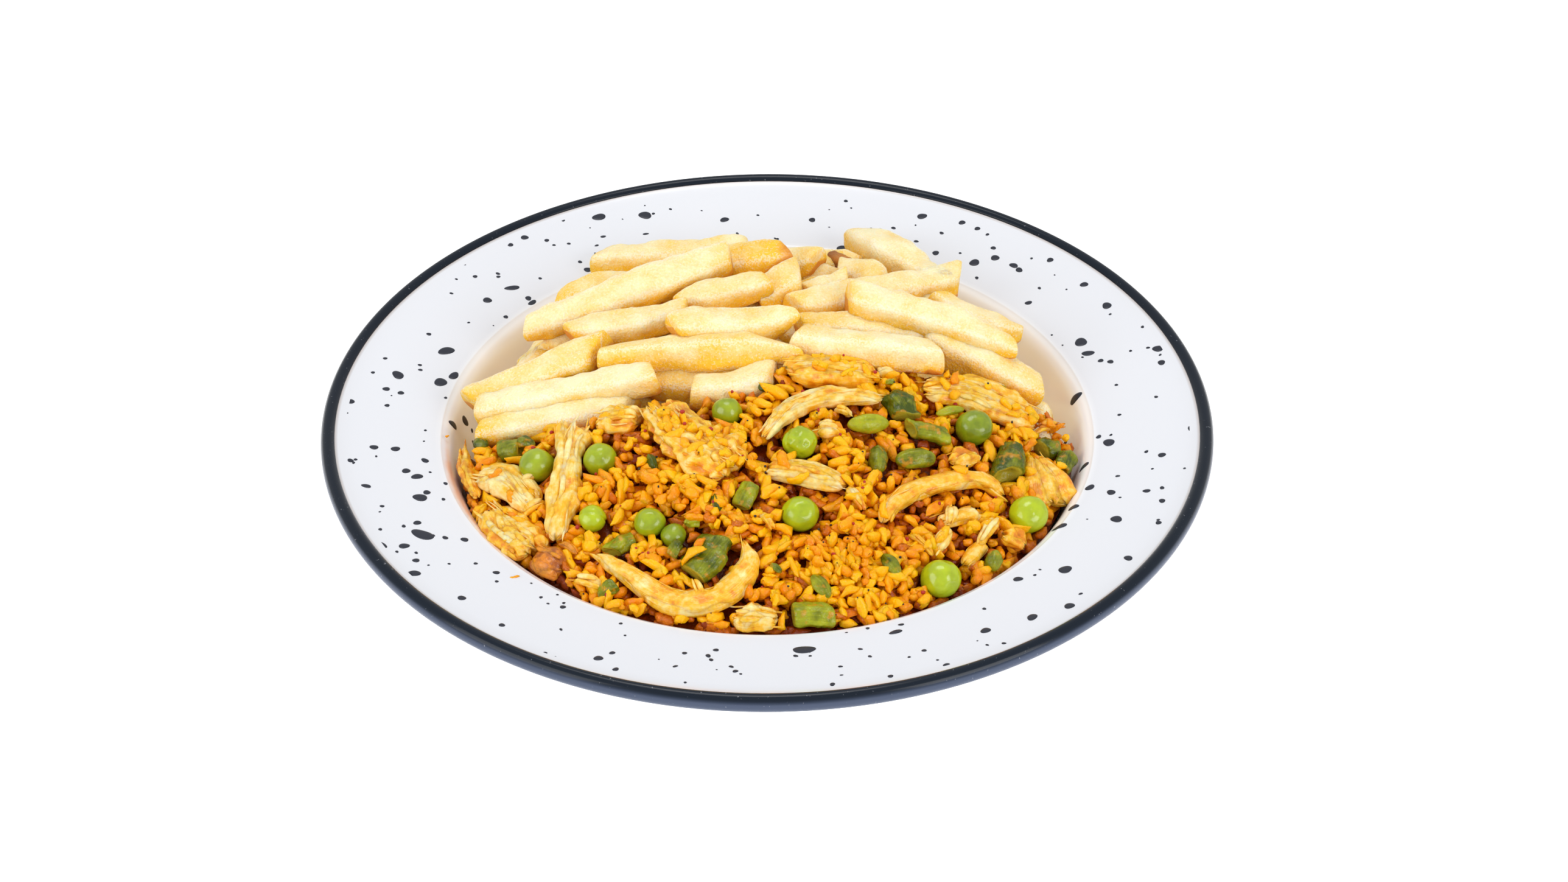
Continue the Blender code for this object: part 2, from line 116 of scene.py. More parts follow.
# Speckles on the rim and the wall: place in plan, length, width and heading against the tangent
SPECKLES = (
    (74.9, 76.9, 2.6, 2, 0), (76.4, 74.6, 2.2, 1.9, 0), (-91.8, -54.4, 6, 4.1, -34),
    (9.8, -99.6, 6.2, 3, 1), (-94.3, 33.1, 5.1, 3, 33), (92.1, 37.7, 3.8, 3.4, 78),
    (-94.5, 18.2, 3.7, 3.5, 90), (-38.9, 104.5, 3.9, 3.2, 7), (42.4, 90.4, 3.7, 3.3, -41),
    (-94.4, -37.1, 3.9, 3.1, -88), (-53.2, 102.3, 4, 2.9, 4), (78.6, -68.5, 3.5, 3.2, 47),
    (-106.7, 18.8, 3.6, 3.1, -57), (95.7, -10.9, 3.4, 2.9, 31), (-91.9, -73.1, 3.4, 2.6, -71),
    (63.1, 80, 3.1, 2.8, -39), (-77.6, 66, 4.8, 1.8, 28), (94.1, -47.4, 3, 2.9, -39),
    (-91.1, 22.1, 3.7, 2.3, 20), (113.6, 29.6, 3.1, 2.7, 89), (93.7, 32.1, 3.6, 2.2, -76),
    (101, 53, 2.8, 2.7, -25), (68.3, -89.6, 3.3, 2.2, -14), (-96.3, -27.4, 3.2, 2.2, 70),
    (47.9, 103.2, 2.9, 2.4, -50), (22.6, 90.5, 3.2, 2.2, -4), (78.1, -85.9, 2.6, 2.5, -44),
    (-95.9, -60.8, 2.8, 2.2, 80), (69.5, 81.3, 2.7, 2.2, -38), (-84.5, 59, 2.7, 2.2, 28),
    (56.1, -94.1, 2.6, 2.3, 13), (33.3, -92.3, 3.6, 1.6, -9), (88.6, -30.9, 2.8, 2, 26),
    (-14, 103.9, 2.7, 2, -27), (-103.5, -15.8, 2.4, 2.1, 62), (94, -34.5, 2.3, 2.2, 59),
    (66.1, -70.9, 2.5, 2, 23), (95.2, -66.5, 2.3, 2.1, -59), (95.2, 64.2, 2.3, 2.1, -54),
    (-42, -105.7, 2.3, 2.1, -24), (-99.5, -25.4, 2.2, 2.1, 79), (-71.2, 60.3, 3.2, 1.4, 0),
    (-109.3, -16.5, 2.2, 2, 77), (-75.5, 89.8, 2.2, 1.9, 42), (113.9, 22.9, 2.1, 2.1, -43),
    (-55.5, 77.7, 2.1, 2, -22), (-78.6, -82.2, 2.2, 1.9, -88), (-109.1, -35.1, 2.7, 1.5, -72),
    (-118.1, 3.2, 2.1, 1.9, -75), (109.3, -20.2, 2, 2, -35), (51.5, 85.9, 2.1, 1.8, -62),
    (-101.9, -62.1, 2.8, 1.3, -10), (-95, -19.4, 2.1, 1.8, -37), (-93.8, -49.1, 2.1, 1.8, -86),
    (60.2, 98.9, 2.1, 1.7, -28), (-80.7, -54.5, 1.9, 1.9, -62), (86, 77.5, 2, 1.8, -49),
    (-92.9, -34.3, 2.1, 1.7, 59), (13.5, 103.8, 2, 1.8, -18), (78.2, 58.9, 2.3, 1.4, -71),
    (-109.2, 11.5, 1.9, 1.7, 56), (-72.5, 62, 1.9, 1.7, -88), (103.4, -36, 2, 1.5, 65),
    (-92.1, -66.9, 2, 1.5, -80), (106.9, -41.7, 1.8, 1.6, -4), (99.7, 26.8, 1.7, 1.6, -2),
    (-105, 10.7, 1.9, 1.4, 53), (64.8, 95.5, 1.8, 1.4, -28), (-114.7, -24.3, 1.7, 1.5, -70),
    (-71, -68.6, 1.7, 1.5, -35), (104.8, -51.7, 1.6, 1.5, 35), (97, 27.9, 1.6, 1.4, -67),
    (-85.8, -54.6, 1.5, 1.4, -34), (-37.4, -110.5, 1.6, 1.4, -57), (-79.5, 85.7, 1.6, 1.4, 28),
    (-67.3, -93.2, 1.6, 1.4, 89), (69.2, 85.9, 1.5, 1.4, 5), (-52.6, -82.4, 1.5, 1.4, 57),
    (93.2, -7.5, 1.6, 1.3, 29), (31.8, 94.9, 1.8, 1.1, 53), (-38.7, -102.8, 1.5, 1.3, -57),
    (45.3, -109.1, 1.7, 1.1, 3), (16.7, -116.3, 1.5, 1.2, -75), (-14.5, -102.6, 1.5, 1.2, 66),
    (-7.5, -109.8, 1.5, 1.1, -32), (119.6, -9.8, 2.1, 0.8, 6), (31.2, -113.3, 1.4, 1.2, 5),
    (-12.6, -99.8, 1.4, 1.2, -39), (-68.7, 89.5, 1.4, 1.2, 32), (-108.1, 3.9, 1.5, 1.1, 52),
    (-78.5, 52.3, 1.4, 1.2, -57), (-89, 69.2, 1.4, 1.1, 41), (107.6, -35.6, 1.5, 1, -27),
    (34.8, -88.9, 1.4, 1, 10), (-100, 39.8, 1.3, 1.2, 43), (-51.5, 93.5, 1.8, 0.8, 8),
    (-88.4, -28.9, 1.2, 1.1, -29), (40.1, -101.8, 1.3, 1, 11), (45.7, 91.9, 1.5, 0.9, -19),
    (-20.5, -101.6, 1.2, 1.1, -79), (-58, 81, 1.2, 1.1, 43), (-38.4, 96, 1.7, 0.8, 6),
    (-13.7, -104.5, 1.2, 1, 46), (24.2, 112, 1.2, 1, -6), (-82.1, 70.4, 1.2, 0.9, 40),
    (-22.6, -108, 1.3, 0.8, -43), (-53.3, 89.2, 1.2, 0.7, -6), (-89.5, 2.2, 3.5, 2.4, 80),
    (-87.2, 9.9, 3.4, 2.8, 60), (-85.5, 10.3, 1.3, 1.1, 0), (-85, 7, 1.2, 1, 0), (-84.1, -27.7, 1.3, 1, 0),
    (88.6, 14.5, 5.2, 2.6, 90), (85.3, 5.3, 4.6, 1.6, 85), (88.1, -18.5, 4.2, 1.8, 75),
    (83.4, -39, 3.2, 2, 60), (78.9, -47.5, 4.4, 2, 50),
)

# Solids that grains of rice stick to, and how many
GRAINS_STUCK_ON = (
    ("chicken_07", 36), ("chicken_10", 15), ("chicken_13", 12), ("chicken_03", 4), ("chicken_14", 3),
    ("chicken_12", 4), ("green_03", 2), ("chicken_16", 2), ("chicken_06", 5), ("chicken_02", 3),
)

# Crumbs on the rim: place and scale
RIM_CRUMBS = (((-66.4, -69.9, 31.0), 0.45), ((-66.0, -72.5, 30.9), 0.2), ((-90.1, -7.2, 30.6), 0.25))

# Heaps: how far out the food lies; half the width, share kept at the foot, and floor of the cores under
# it; the rice's top and its clumps; the level of the fries at their top and at the wall, and their slope
HEAP_REACH = 91.0
CORE_REACH = 88.5
CORE_FOOT, CORE_FLOOR = 0.86, 12.0
RICE_PEAK = 46.0
CLUMP_HEIGHT = 1.8
CLUMP_SIZE = 10.0
FRIES_PEAK = 50.0
FRIES_AT_WALL = 16.0
FRIES_SLOPE = 1.1

# Fries: start, end, width, how golden the whole fry is, and how much of its thickness each end keeps
FRIES = (
    ((-51, 77, 35.5), (-5, 64, 45), 10.2, 0.35, (0.85, 1.0)),
    ((-69, 29, 40.5), (-11, 52, 52), 10.2, 0.25, (0.7, 1.0)),
    ((-23, 59, 44), (6, 57, 48), 10.6, 0.75, (1.0, 0.85)),
    ((-20, 66, 40), (15, 63, 43), 10.2, 0.4, (1.0, 0.8)),
    ((28, 86, 36.5), (52, 51, 41), 10.2, 0.15, (0.95, 0.5)),
    ((7, 32, 47), (57, 56, 42), 9.6, 0.35, (0.85, 1.0)),
    ((23, 30, 52), (71, 20, 43), 10.2, 0.2, (1.0, 0.4)),
    ((46, 22, 43), (77, 9, 34), 9.6, 0.35, (0.8, 0.9)),
    ((8, 11, 49), (48, 9, 46), 10.2, 0.15, (0.9, 1.0)),
    ((9, 22, 47), (51, 24, 42), 9.0, 0.55, (0.9, 0.7)),
    ((-27, 16, 51), (8, 20, 52), 10.2, 0.4, (0.6, 0.35)),
    ((-47, 10, 46), (9, 8, 50), 9.6, 0.65, (0.75, 0.5)),
    ((-57, 23, 43), (-23, 29, 48), 9.0, 0.3, (0.6, 0.85)),
    ((-26, 35, 46), (0, 39, 51), 9.0, 0.35, (0.5, 0.85)),
    ((-2, 37, 46), (11, 48, 49), 9.6, 0.45, (0.8, 0.5)),
    ((11, 42, 45), (24, 49, 46), 8.6, 0.1, (0.9, 0.9)),
    ((22, 62, 41), (33, 50, 42), 9.0, 0.4, (0.8, 0.8)),
    ((-62, 46, 39), (-36, 50, 43), 9.0, 0.75, (0.85, 0.9)),
    ((-84, 4, 32.5), (-47, 12, 46), 9.6, 0.6, (0.7, 1.0)),
    ((-81, -1, 34), (-31, -2, 47), 9.6, 0.0, (0.8, 0.9)),
    ((-80, -7, 31.5), (-38, -8, 41), 9.6, 0.2, (1.0, 0.8)),
    ((-21, -5, 44), (2, -2, 45.5), 10.2, 0.05, (1.0, 1.0)),
    ((-34, 4, 41), (-6, 6, 43), 9.0, 0.9, (0.9, 0.9)),
    ((49, 41, 44), (73, 30, 38), 9.0, 0.35, (0.8, 0.6)),
    ((-60, 46, 31), (-40, 66, 31), 9.6, 0.5, (0.9, 0.9)),
    ((-36, 72, 28), (6, 75, 30), 9.6, 0.4, (0.9, 0.9)),
    ((0, 70, 36), (27, 70, 35.5), 9.6, 0.45, (0.9, 0.8)),
    ((44, 62, 30), (63, 45, 30), 9.0, 0.4, (0.9, 0.9)),
)
# Fries that lie along the wall of the well, behind those that show: radius and number
FRIES_ALONG_WALL = ((78.0, 8), (72.0, 7), (65.0, 6))
# Brown marks on the fries: number of the fry, share along it, towards its right and up in half widths,
# radius and strength
MARKS = (
    (2, 1.0, 0.0, 0.0, 9.0, 1.6), (2, 1.0, 0.6, 0.3, 2.6, 0.5), (8, 0.93, 0.9, -0.35, 1.5, 1.9),
    (6, 0.76, 0.9, -0.1, 0.7, 1.9), (17, 0.0, 0.0, 0.0, 4.0, 0.6), (11, 1.0, 0.3, 0.0, 3.0, 0.45),
    (1, 0.62, 0.9, -0.7, 0.5, 2.0), (20, 0.03, 0.6, 0.0, 6.0, 0.5),
)
BURNT_TIP = ((18, 73, 38.5), (26, 63.5, 41), 5.0)

# Peas: place in plan, radius, lift above the rice, tone from dark to bright, and skin
PEAS = (
    ((-63, -28), 5.0, 2.4, 0.45, "smooth"),
    ((-45.5, -30), 4.8, 2.4, 0.55, "nubbed"),
    ((-46.5, -51.5), 3.8, 1.8, 0.85, "split"),
    ((-31, -55), 4.2, 2.0, 0.5, "dented"),
    ((-24.5, -59), 3.5, 1.2, 0.2, "smooth"),
    ((-11, -17.5), 4.2, 1.8, 0.4, "smooth"),
    ((9, -30), 4.8, 2.4, 0.75, "wrinkled"),
    ((9, -54), 5.0, 2.0, 0.7, "dented"),
    ((57.5, -14), 5.3, 2.4, 0.15, "dented"),
    ((71, -41.5), 5.4, 2.6, 0.95, "nubbed"),
    ((46, -68.5), 5.5, 2.4, 0.8, "creased"),
)

# Green vegetables: start and end in plan, width, thickness, lift, form and tone from dark to bright
GREENS = (
    ((-74, -17), (-68, -18), 6.5, 5.0, 1.5, "cut", 0.4),
    ((-41, -62), (-35, -59), 5.5, 4.5, 0.8, "cut", 0.5),
    ((-19, -72), (-13, -62), 11.0, 5.0, 1.6, "pepper", 0.25),
    ((-7, -51), (-4, -45), 5.5, 4.0, 1.2, "ring", 0.6),
    ((34, -7.5), (39, -14), 8.0, 5.0, 2.0, "pepper", 0.1),
    ((39.5, -19), (49.5, -19.5), 6.5, 5.0, 2.0, "cut", 0.55),
    ((30, -37), (30.5, -27.5), 5.2, 4.5, 1.0, "bean", 0.25),
    ((35, -32.5), (46, -29), 6.0, 5.0, 2.0, "bean", 0.45),
    ((66, -28), (68.5, -16.5), 8.5, 6.5, 2.2, "cut", 0.1),
    ((82.5, -18.5), (84, -12.5), 5.5, 5.0, 1.2, "cut", 0.3),
    ((77, -11.5), (81.5, -8), 5.5, 5.0, 0.8, "pepper", 0.2),
    ((22, -22.5), (33.5, -19), 6.2, 5.2, 2.4, "leaf", 1.0),
    ((7, -84), (17, -83.5), 7.0, 6.0, 1.8, "cut", 0.7),
)

# Pulled chicken: route in plan, width, thickness, lift, how stained it is, its width along it, and form
CHICKEN = (
    (((-85.5, -9), (-83.5, -22), (-79.5, -34)), 3.4, 3.4, 2.6, 0.75, (0.5, 1.1, 0.9), "torn"),
    (((-78.5, -26.5), (-71, -31.5), (-63, -42.5)), 7.8, 5.4, 2.6, 0.1, (0.9, 1.2, 0.9), "fibrous"),
    (((-75, -40.5), (-68, -50), (-61.5, -57.5)), 9.2, 5.6, 2.2, 0.3, (0.8, 1.15, 0.9), "torn"),
    (((-61, -59), (-53.5, -66)), 7.4, 6.4, 1.8, 1.5, (0.9, 1.0, 0.9), "smooth"),
    (((-53, -17), (-54, -28), (-55, -42), (-57, -54)), 7.2, 5.4, 2.8, 0.2, (1.5, 0.8, 1.05, 0.8), "fibrous"),
    (((-46, -16.5), (-35.5, -18)), 8.0, 6.4, 2.6, 0.35, (0.8, 1.0, 0.9), "torn"),
    (((-30, -14.5), (-21, -29), (-8, -41)), 12.0, 6.0, 2.6, 0.35, (0.8, 1.0, 1.15), "torn"),
    (((-45, -63), (-38, -69), (-24, -79.5), (-12, -79.5), (-5, -71), (-6, -64)), 5.0, 4.4, 2.4, 0.3,
     (0.6, 0.9, 1.3, 1.3, 1.2, 0.5), "smooth"),
    (((-8, -84.5), (2.5, -85.5)), 7.0, 4.6, 2.0, 0.15, (1.0, 1.1, 0.8), "torn"),
    (((6, -2.5), (18, 0), (31, 0)), 9.0, 6.8, 3.2, 0.4, (0.9, 1.0, 0.9), "fibrous"),
    (((-1, -29), (6, -18), (17, -11.5), (31, -10)), 5.6, 4.6, 2.8, 0.15, (0.6, 1.0, 1.1, 0.8), "fibrous"),
    (((1, -39.5), (12, -42), (21, -44)), 7.5, 5.0, 2.0, 0.3, (0.8, 1.0, 0.7), "fibrous"),
    (((44, -2), (58, 1), (75, -2)), 11.5, 6.0, 2.6, 0.35, (0.6, 1.0, 0.8), "fibrous"),
    (((31, -56), (34, -48), (43, -40.5), (57, -34.5), (65, -36)), 5.0, 4.2, 2.8, 0.35,
     (0.9, 1.0, 1.1, 1.0, 0.7), "smooth"),
    (((50, -29), (57.5, -24.5)), 6.0, 5.0, 2.0, 0.55, (0.9, 1.0, 0.8), "chunk"),
    (((74.5, -17.5), (76.5, -25.5), (78.5, -33.5)), 10.5, 4.4, 2.2, 0.6, (0.4, 0.9, 1.3), "smooth"),
    (((45.5, -51), (57, -44)), 5.0, 3.6, 1.2, 0.2, (0.9, 1.0, 0.9), "smooth"),
    (((52, -62), (58, -53.5)), 4.2, 3.4, 1.0, 0.4, (0.8, 1.0, 0.9), "smooth"),
    (((63.5, -50.5), (69, -52)), 6.0, 5.0, 1.8, 0.7, (1.0, 1.1, 0.9), "chunk"),
)
# Forms of meat: depth of the grooves, size of the lumps as a share of the width, and share of loose fibres
MEAT_FORMS = {
    "torn": (0.13, 0.26, 0.9),
    "fibrous": (0.22, 0.10, 1.0),
    "smooth": (0.12, 0.05, 0.3),
    "chunk": (0.10, 0.34, 0.3),
}

# Slivers of green too small to be solids: start and end in plan, width, thickness, form and tone
GREEN_SCRAPS = (
    ((47, -10.5), (55, -6.5), 3.2, 2.2, "leaf", 1.0), ((30.5, -65), (35, -71), 4.2, 1.8, "leaf", 0.35),
    ((12, -73), (16.5, -79), 4.2, 1.8, "leaf", 0.5), ((59.5, -63), (61.5, -57.5), 4.5, 4.0, "bean", 0.5),
    ((-2.5, -8.2), (3, -9.4), 2.7, 2.0, "bean", 0.1), ((-43.5, -74.5), (-39.5, -73), 4.0, 3.0, "cut", 0.4),
    ((-82, -11), (-78, -14), 3.0, 2.6, "bean", 0.1), ((-68, -17), (-64.5, -19.5), 2.8, 2.4, "cut", 0.1),
    ((-32, -33.5), (-30, -38.5), 2.6, 2.4, "bean", 0.0), ((-25, -67), (-22.5, -64), 3.2, 2.4, "cut", 0.3),
    ((-21, -57), (-18, -56), 2.8, 2.4, "cut", 0.9), ((33, -3.5), (35.5, -2.5), 1.6, 1.4, "bean", 0.6),
    ((65, 6), (67.5, 6.5), 2.0, 1.6, "bean", 0.7), ((1, -71), (4, -73), 2.0, 1.6, "bean", 0.4),
    ((-14, -49), (-12.5, -54), 3.0, 2.6, "bean", 0.0),
)
# Shreds of chicken and thin brown scraps: start and end in plan, width, thickness and how stained
CHICKEN_SCRAPS = (
    ((-50, -69.5), (-42.5, -72.5), 3.6, 2.6, 0.3), ((45, -61), (49, -55), 3.8, 3.0, 0.3),
    ((14, -25.5), (19.5, -25.5), 5.0, 4.0, 0.2), ((31, 1.5), (35.5, 2.5), 3.4, 3.0, 0.0),
    ((-68, -34), (-62, -31), 2.2, 1.8, 0.4), ((-66, -44), (-60, -42), 2.4, 2.0, 0.5),
    ((19, -15), (23, -18), 2.6, 2.2, 0.3), ((22, -45), (26, -52), 2.6, 2.2, 0.6),
    ((-2, -54), (2, -60), 2.0, 1.8, 0.6), ((-34, -73), (-29, -77), 1.8, 1.6, 0.5),
    ((50, -46), (49, -52), 3.0, 2.2, 0.1), ((62, -47), (57, -56), 3.2, 2.4, 0.3),
    ((-69, -56), (-66, -60), 2.2, 1.8, 0.7), ((-19, -74), (-16, -82), 1.6, 1.4, 0.5),
    ((38, -56), (44, -63), 2.0, 1.6, 0.7),
)
BROWN_SCRAPS = (
    ((76.5, -3.5), (84.5, 0.5), 2.4, 1.4, 1.3),
    ((75, -7), (80, -3), 2.0, 1.4, 1.1),
    ((-55, -57), (-50, -62), 2.4, 1.8, 1.2),
)

# Stage, in metres but for the camera's target: half the floor's side, what the lights face, and the camera
FLOOR_REACH = 3.0
LIT_PLACE = (0.0, 0.0, 0.03)
CAMERA_DISTANCE = 0.75
CAMERA_TARGET = (4.675, -18.04, 37.0)


def colour(name, description, default):
    """A colour that the user can change."""
    return FloatVectorProperty(
        name=name, description=description, subtype="COLOR", size=3, min=0.0, max=1.0, default=default
    )


def size(name, description, default):
    """A length that the user can change."""
    return FloatProperty(
        name=name, description=description, subtype="DISTANCE", unit="LENGTH", min=0.0, precision=4,
        default=default * MM,
    )


def count(name, description, default):
    """A number of things that the user can change."""
    return IntProperty(name=name, description=description, min=0, default=default)


def strength(name, description, default, unit="NONE"):
    """Power or strength of a light that the user can change."""
    return FloatProperty(name=name, description=description, unit=unit, min=0.0, default=default)


class PlateSettings(bpy.types.PropertyGroup):
    """Colours and speckles of the plate."""

    glaze: colour("Glaze", "Colour of the white glaze", (0.765, 0.785, 0.835))
    # Painted light: the wall of the well is given a lighter glaze than the rim, standing in for light falling
    # there.
    wall_glaze_painted_light: colour("Glaze inside", "Colour of the glaze on the wall of the well", (0.95, 0.97, 1.0))
    band: colour("Rim band", "Colour of the top of the dark rolled edge", (0.006, 0.011, 0.020))
    # The outer side of the rolled edge is coloured lighter and bluer as a painted reflection.
    band_painted_reflection: colour("Below rim band", "Colour of the outer side of the rolled edge", (0.060, 0.080, 0.135))
    speckle: colour("Speckles", "Colour of the dark speckles", (0.022, 0.025, 0.038))
    small_speckles: count("Small speckles", "Number of small speckles between the large ones", 120)
    speckle_height: size("Speckle height", "How far the middle of a speckle stands proud", 0.14)


class FriesSettings(bpy.types.PropertyGroup):
    """Colours and number of the fries."""

    pale: colour("Pale", "Colour of the palest fried side", (1.0, 0.87, 0.53))
    # Golden also carries the painted shade on the fries' sides and undersides.
    golden: colour("Golden", "Colour of the fried edges and ends", (0.98, 0.57, 0.035))
    toasted: colour("Toasted", "Colour of the toasted tips", (0.72, 0.27, 0.03))
    brown: colour("Brown", "Colour of the darkest spots", (0.22, 0.07, 0.01))
    hidden: count("Fries underneath", "Number of fries under those that show", 26)


class RiceSettings(bpy.types.PropertyGroup):
    """Colours, sizes and number of the grains of rice."""

    bright: colour("Bright", "Colour of the brightest grains", (1.0, 0.52, 0.004))
    golden: colour("Golden", "Colour of most grains", (0.96, 0.395, 0.003))
    orange: colour("Orange", "Colour of the well coloured grains", (0.76, 0.205, 0.002))
    # Deep is also the painted shade of the lower grains and of the core between them.
    deep: colour("Deep", "Colour of the grains and sauce underneath", (0.27, 0.038, 0.002))
    grain_length: size("Grain length", "Length of an average grain", 5.7)
    grain_width: size("Grain width", "Width of an average grain", 2.85)
    grain_gap: size("Grain spacing", "Distance between grains in one layer", 2.95)
    clumps: count("Clumps", "Number of clumps of grains that stand proud", 330)
    red_specks: count("Red specks", "Number of red specks of spice", 46)
    black_specks: count("Black specks", "Number of black specks of spice", 90)


class GreenSettings(bpy.types.PropertyGroup):
    """Colours of the peas and the green vegetables."""

    pea_bright: colour("Bright pea", "Colour of the brightest peas", (0.45, 0.56, 0.008))
    pea_dark: colour("Dark pea", "Colour of the darkest peas", (0.17, 0.23, 0.006))
    skin_bright: colour("Bright skin", "Colour of the brightest bean skin", (0.40, 0.42, 0.012))
    skin_dark: colour("Dark skin", "Colour of the darkest skin", (0.055, 0.080, 0.003))
    flesh: colour("Flesh", "Colour of cut ends", (0.48, 0.40, 0.03))


class ChickenSettings(bpy.types.PropertyGroup):
    """Colours and fibres of the chicken."""

    meat: colour("Meat", "Colour of the clean meat", (1.0, 0.81, 0.38))
    stain: colour("Stain", "Colour of the meat where the sauce has run in", (1.0, 0.50, 0.02))
    crevice: colour("Crevice", "Colour of the sauce in the gaps of the meat", (0.80, 0.26, 0.006))
    roast: colour("Roast", "Colour of the roasted skin", (0.36, 0.09, 0.010))
    fibres: count("Fibres", "Number of loose fibres on a strip of average width", 9)


class StageSettings(bpy.types.PropertyGroup):
    """Light, floor and camera."""

    key: strength("Key light", "Power of the large light overhead", 2.1, "POWER")
    fill: strength("Fill light", "Power of each side light", 3.2, "POWER")
    sky: strength("Sky", "Strength of the even white light all round", 0.7)
    floor: colour("Floor", "Colour of the floor", (0.93, 0.93, 0.93))
    floor_glow: strength("Floor glow", "Light that the white floor gives off itself", 0.6)
    elevation: FloatProperty(
        name="Camera elevation", description="Angle of the camera above the horizon", subtype="ANGLE",
        default=math.radians(36.755),
    )
    lens: FloatProperty(name="Lens", description="Focal length", unit="CAMERA", default=62.21)


class Value:
    """A number that changes over a surface. Sums on it add maths nodes to its finish."""

    def __init__(self, finish, socket):
        self.finish = finish
        self.socket = socket

    def maths(self, operation, first, second, limit=False):
        settings = {"operation": operation, "use_clamp": limit}
        return self.finish.value("ShaderNodeMath", settings, {0: first, 1: second})

    def __add__(self, other):
        return self.maths("ADD", self, other)

    def __radd__(self, other):
        return self.maths("ADD", other, self)

    def __sub__(self, other):
        return self.maths("SUBTRACT", self, other)

    def __rsub__(self, other):
        return self.maths("SUBTRACT", other, self)

    def __mul__(self, other):
        return self.maths("MULTIPLY", self, other)

    def __rmul__(self, other):
        return self.maths("MULTIPLY", other, self)

    def limited(self):
        """The same number kept between 0 and 1."""
        return self.maths("ADD", self, 0.0, limit=True)


class Finish:
    """A material: one shader with constant settings, and the nodes that vary its colour and relief."""

    def __init__(self, name, **constants):
        self.material = bpy.data.materials.new(name)
        self.material.use_nodes = True
        self.tree = self.material.node_tree
        self.shader = self.tree.nodes["Principled BSDF"]
        for label, value in constants.items():
            self.shader.inputs[label.replace("_", " ").title().replace("Ior", "IOR")].default_value = value

    def node(self, kind, settings=None, sockets=None):
        """Add a node of a type, with its settings first and then the values or links of its sockets."""
        made = self.tree.nodes.new(kind)
        for key, value in (settings or {}).items():
            setattr(made, key, value)
        for key, value in (sockets or {}).items():
            value = getattr(value, "socket", value)
            if isinstance(value, bpy.types.NodeSocket):
                self.tree.links.new(value, made.inputs[key])
            else:
                made.inputs[key].default_value = value
        return made

    def value(self, kind, settings=None, sockets=None, output=0):
        """Add a node and take one of its outputs as a number."""
        return Value(self, self.node(kind, settings, sockets).outputs[output])

    def number(self, label):
        """A number that the mesh carries at each of its points."""
        return self.value("ShaderNodeAttribute", {"attribute_name": label}, output="Fac")

    def part(self, label, index):
        """One of three numbers that the mesh carries together at each of its points."""
        carried = self.node("ShaderNodeAttribute", {"attribute_name": label}).outputs["Vector"]
        return self.value("ShaderNodeSeparateXYZ", None, {"Vector": carried}, output=index)

    def lumps(self, grain, detail=2.0, shift=0.0):
        """Even noise about 0.5 with lumps of a size in millimetres."""
        place = self.node("ShaderNodeTexCoord").outputs["Object"]
        moved = self.node("ShaderNodeVectorMath", {"operation": "ADD"}, {0: place, 1: (shift, shift, shift)})
        sockets = {"Vector": moved.outputs[0], "Scale": 1.0 / (grain * MM), "Detail": detail}
        return self.value("ShaderNodeTexNoise", None, sockets)

    def streaks(self, width, detail=2.0):
        """Even noise about 0.5 in streaks of a width in millimetres, drawn out along each strip."""
        strand = self.node("ShaderNodeAttribute", {"attribute_name": "strand"}).outputs["Vector"]
        sockets = {"Vector": strand, "Scale": 1.0 / width, "Detail": detail}
        return self.value("ShaderNodeTexNoise", None, sockets)

    def ramp(self, value, low, high):
        """Rise smoothly from 0 to 1 as a value goes from low to high."""
        sockets = {"Value": value, "From Min": low, "From Max": high}
        return self.value("ShaderNodeMapRange", {"interpolation_type": "SMOOTHSTEP"}, sockets)

    def mixed(self, mask, first, second):
        """A colour that goes from the first to the second as the mask goes from 0 to 1."""
        sides = [(*side, 1.0) if len_of(side) == 3 else side for side in (first, second)]
        made = self.node("ShaderNodeMix", {"data_type": "RGBA"}, {0: mask, 6: sides[0], 7: sides[1]})
        return made.outputs[2]

    def wear(self, label, value):
        """Let one of the shader's sockets change over the surface."""
        self.tree.links.new(getattr(value, "socket", value), self.shader.inputs[label])

    def relief(self, height, depth):
        """Fine relief of a depth in millimetres."""
        sockets = {"Height": height, "Distance": depth * MM, "Strength": 1.0}
        self.wear("Normal", self.node("ShaderNodeBump", None, sockets).outputs["Normal"])


def len_of(side):
    """How many numbers a colour has, or 0 if it is a socket."""
    return 0 if isinstance(side, bpy.types.NodeSocket) else len(side)


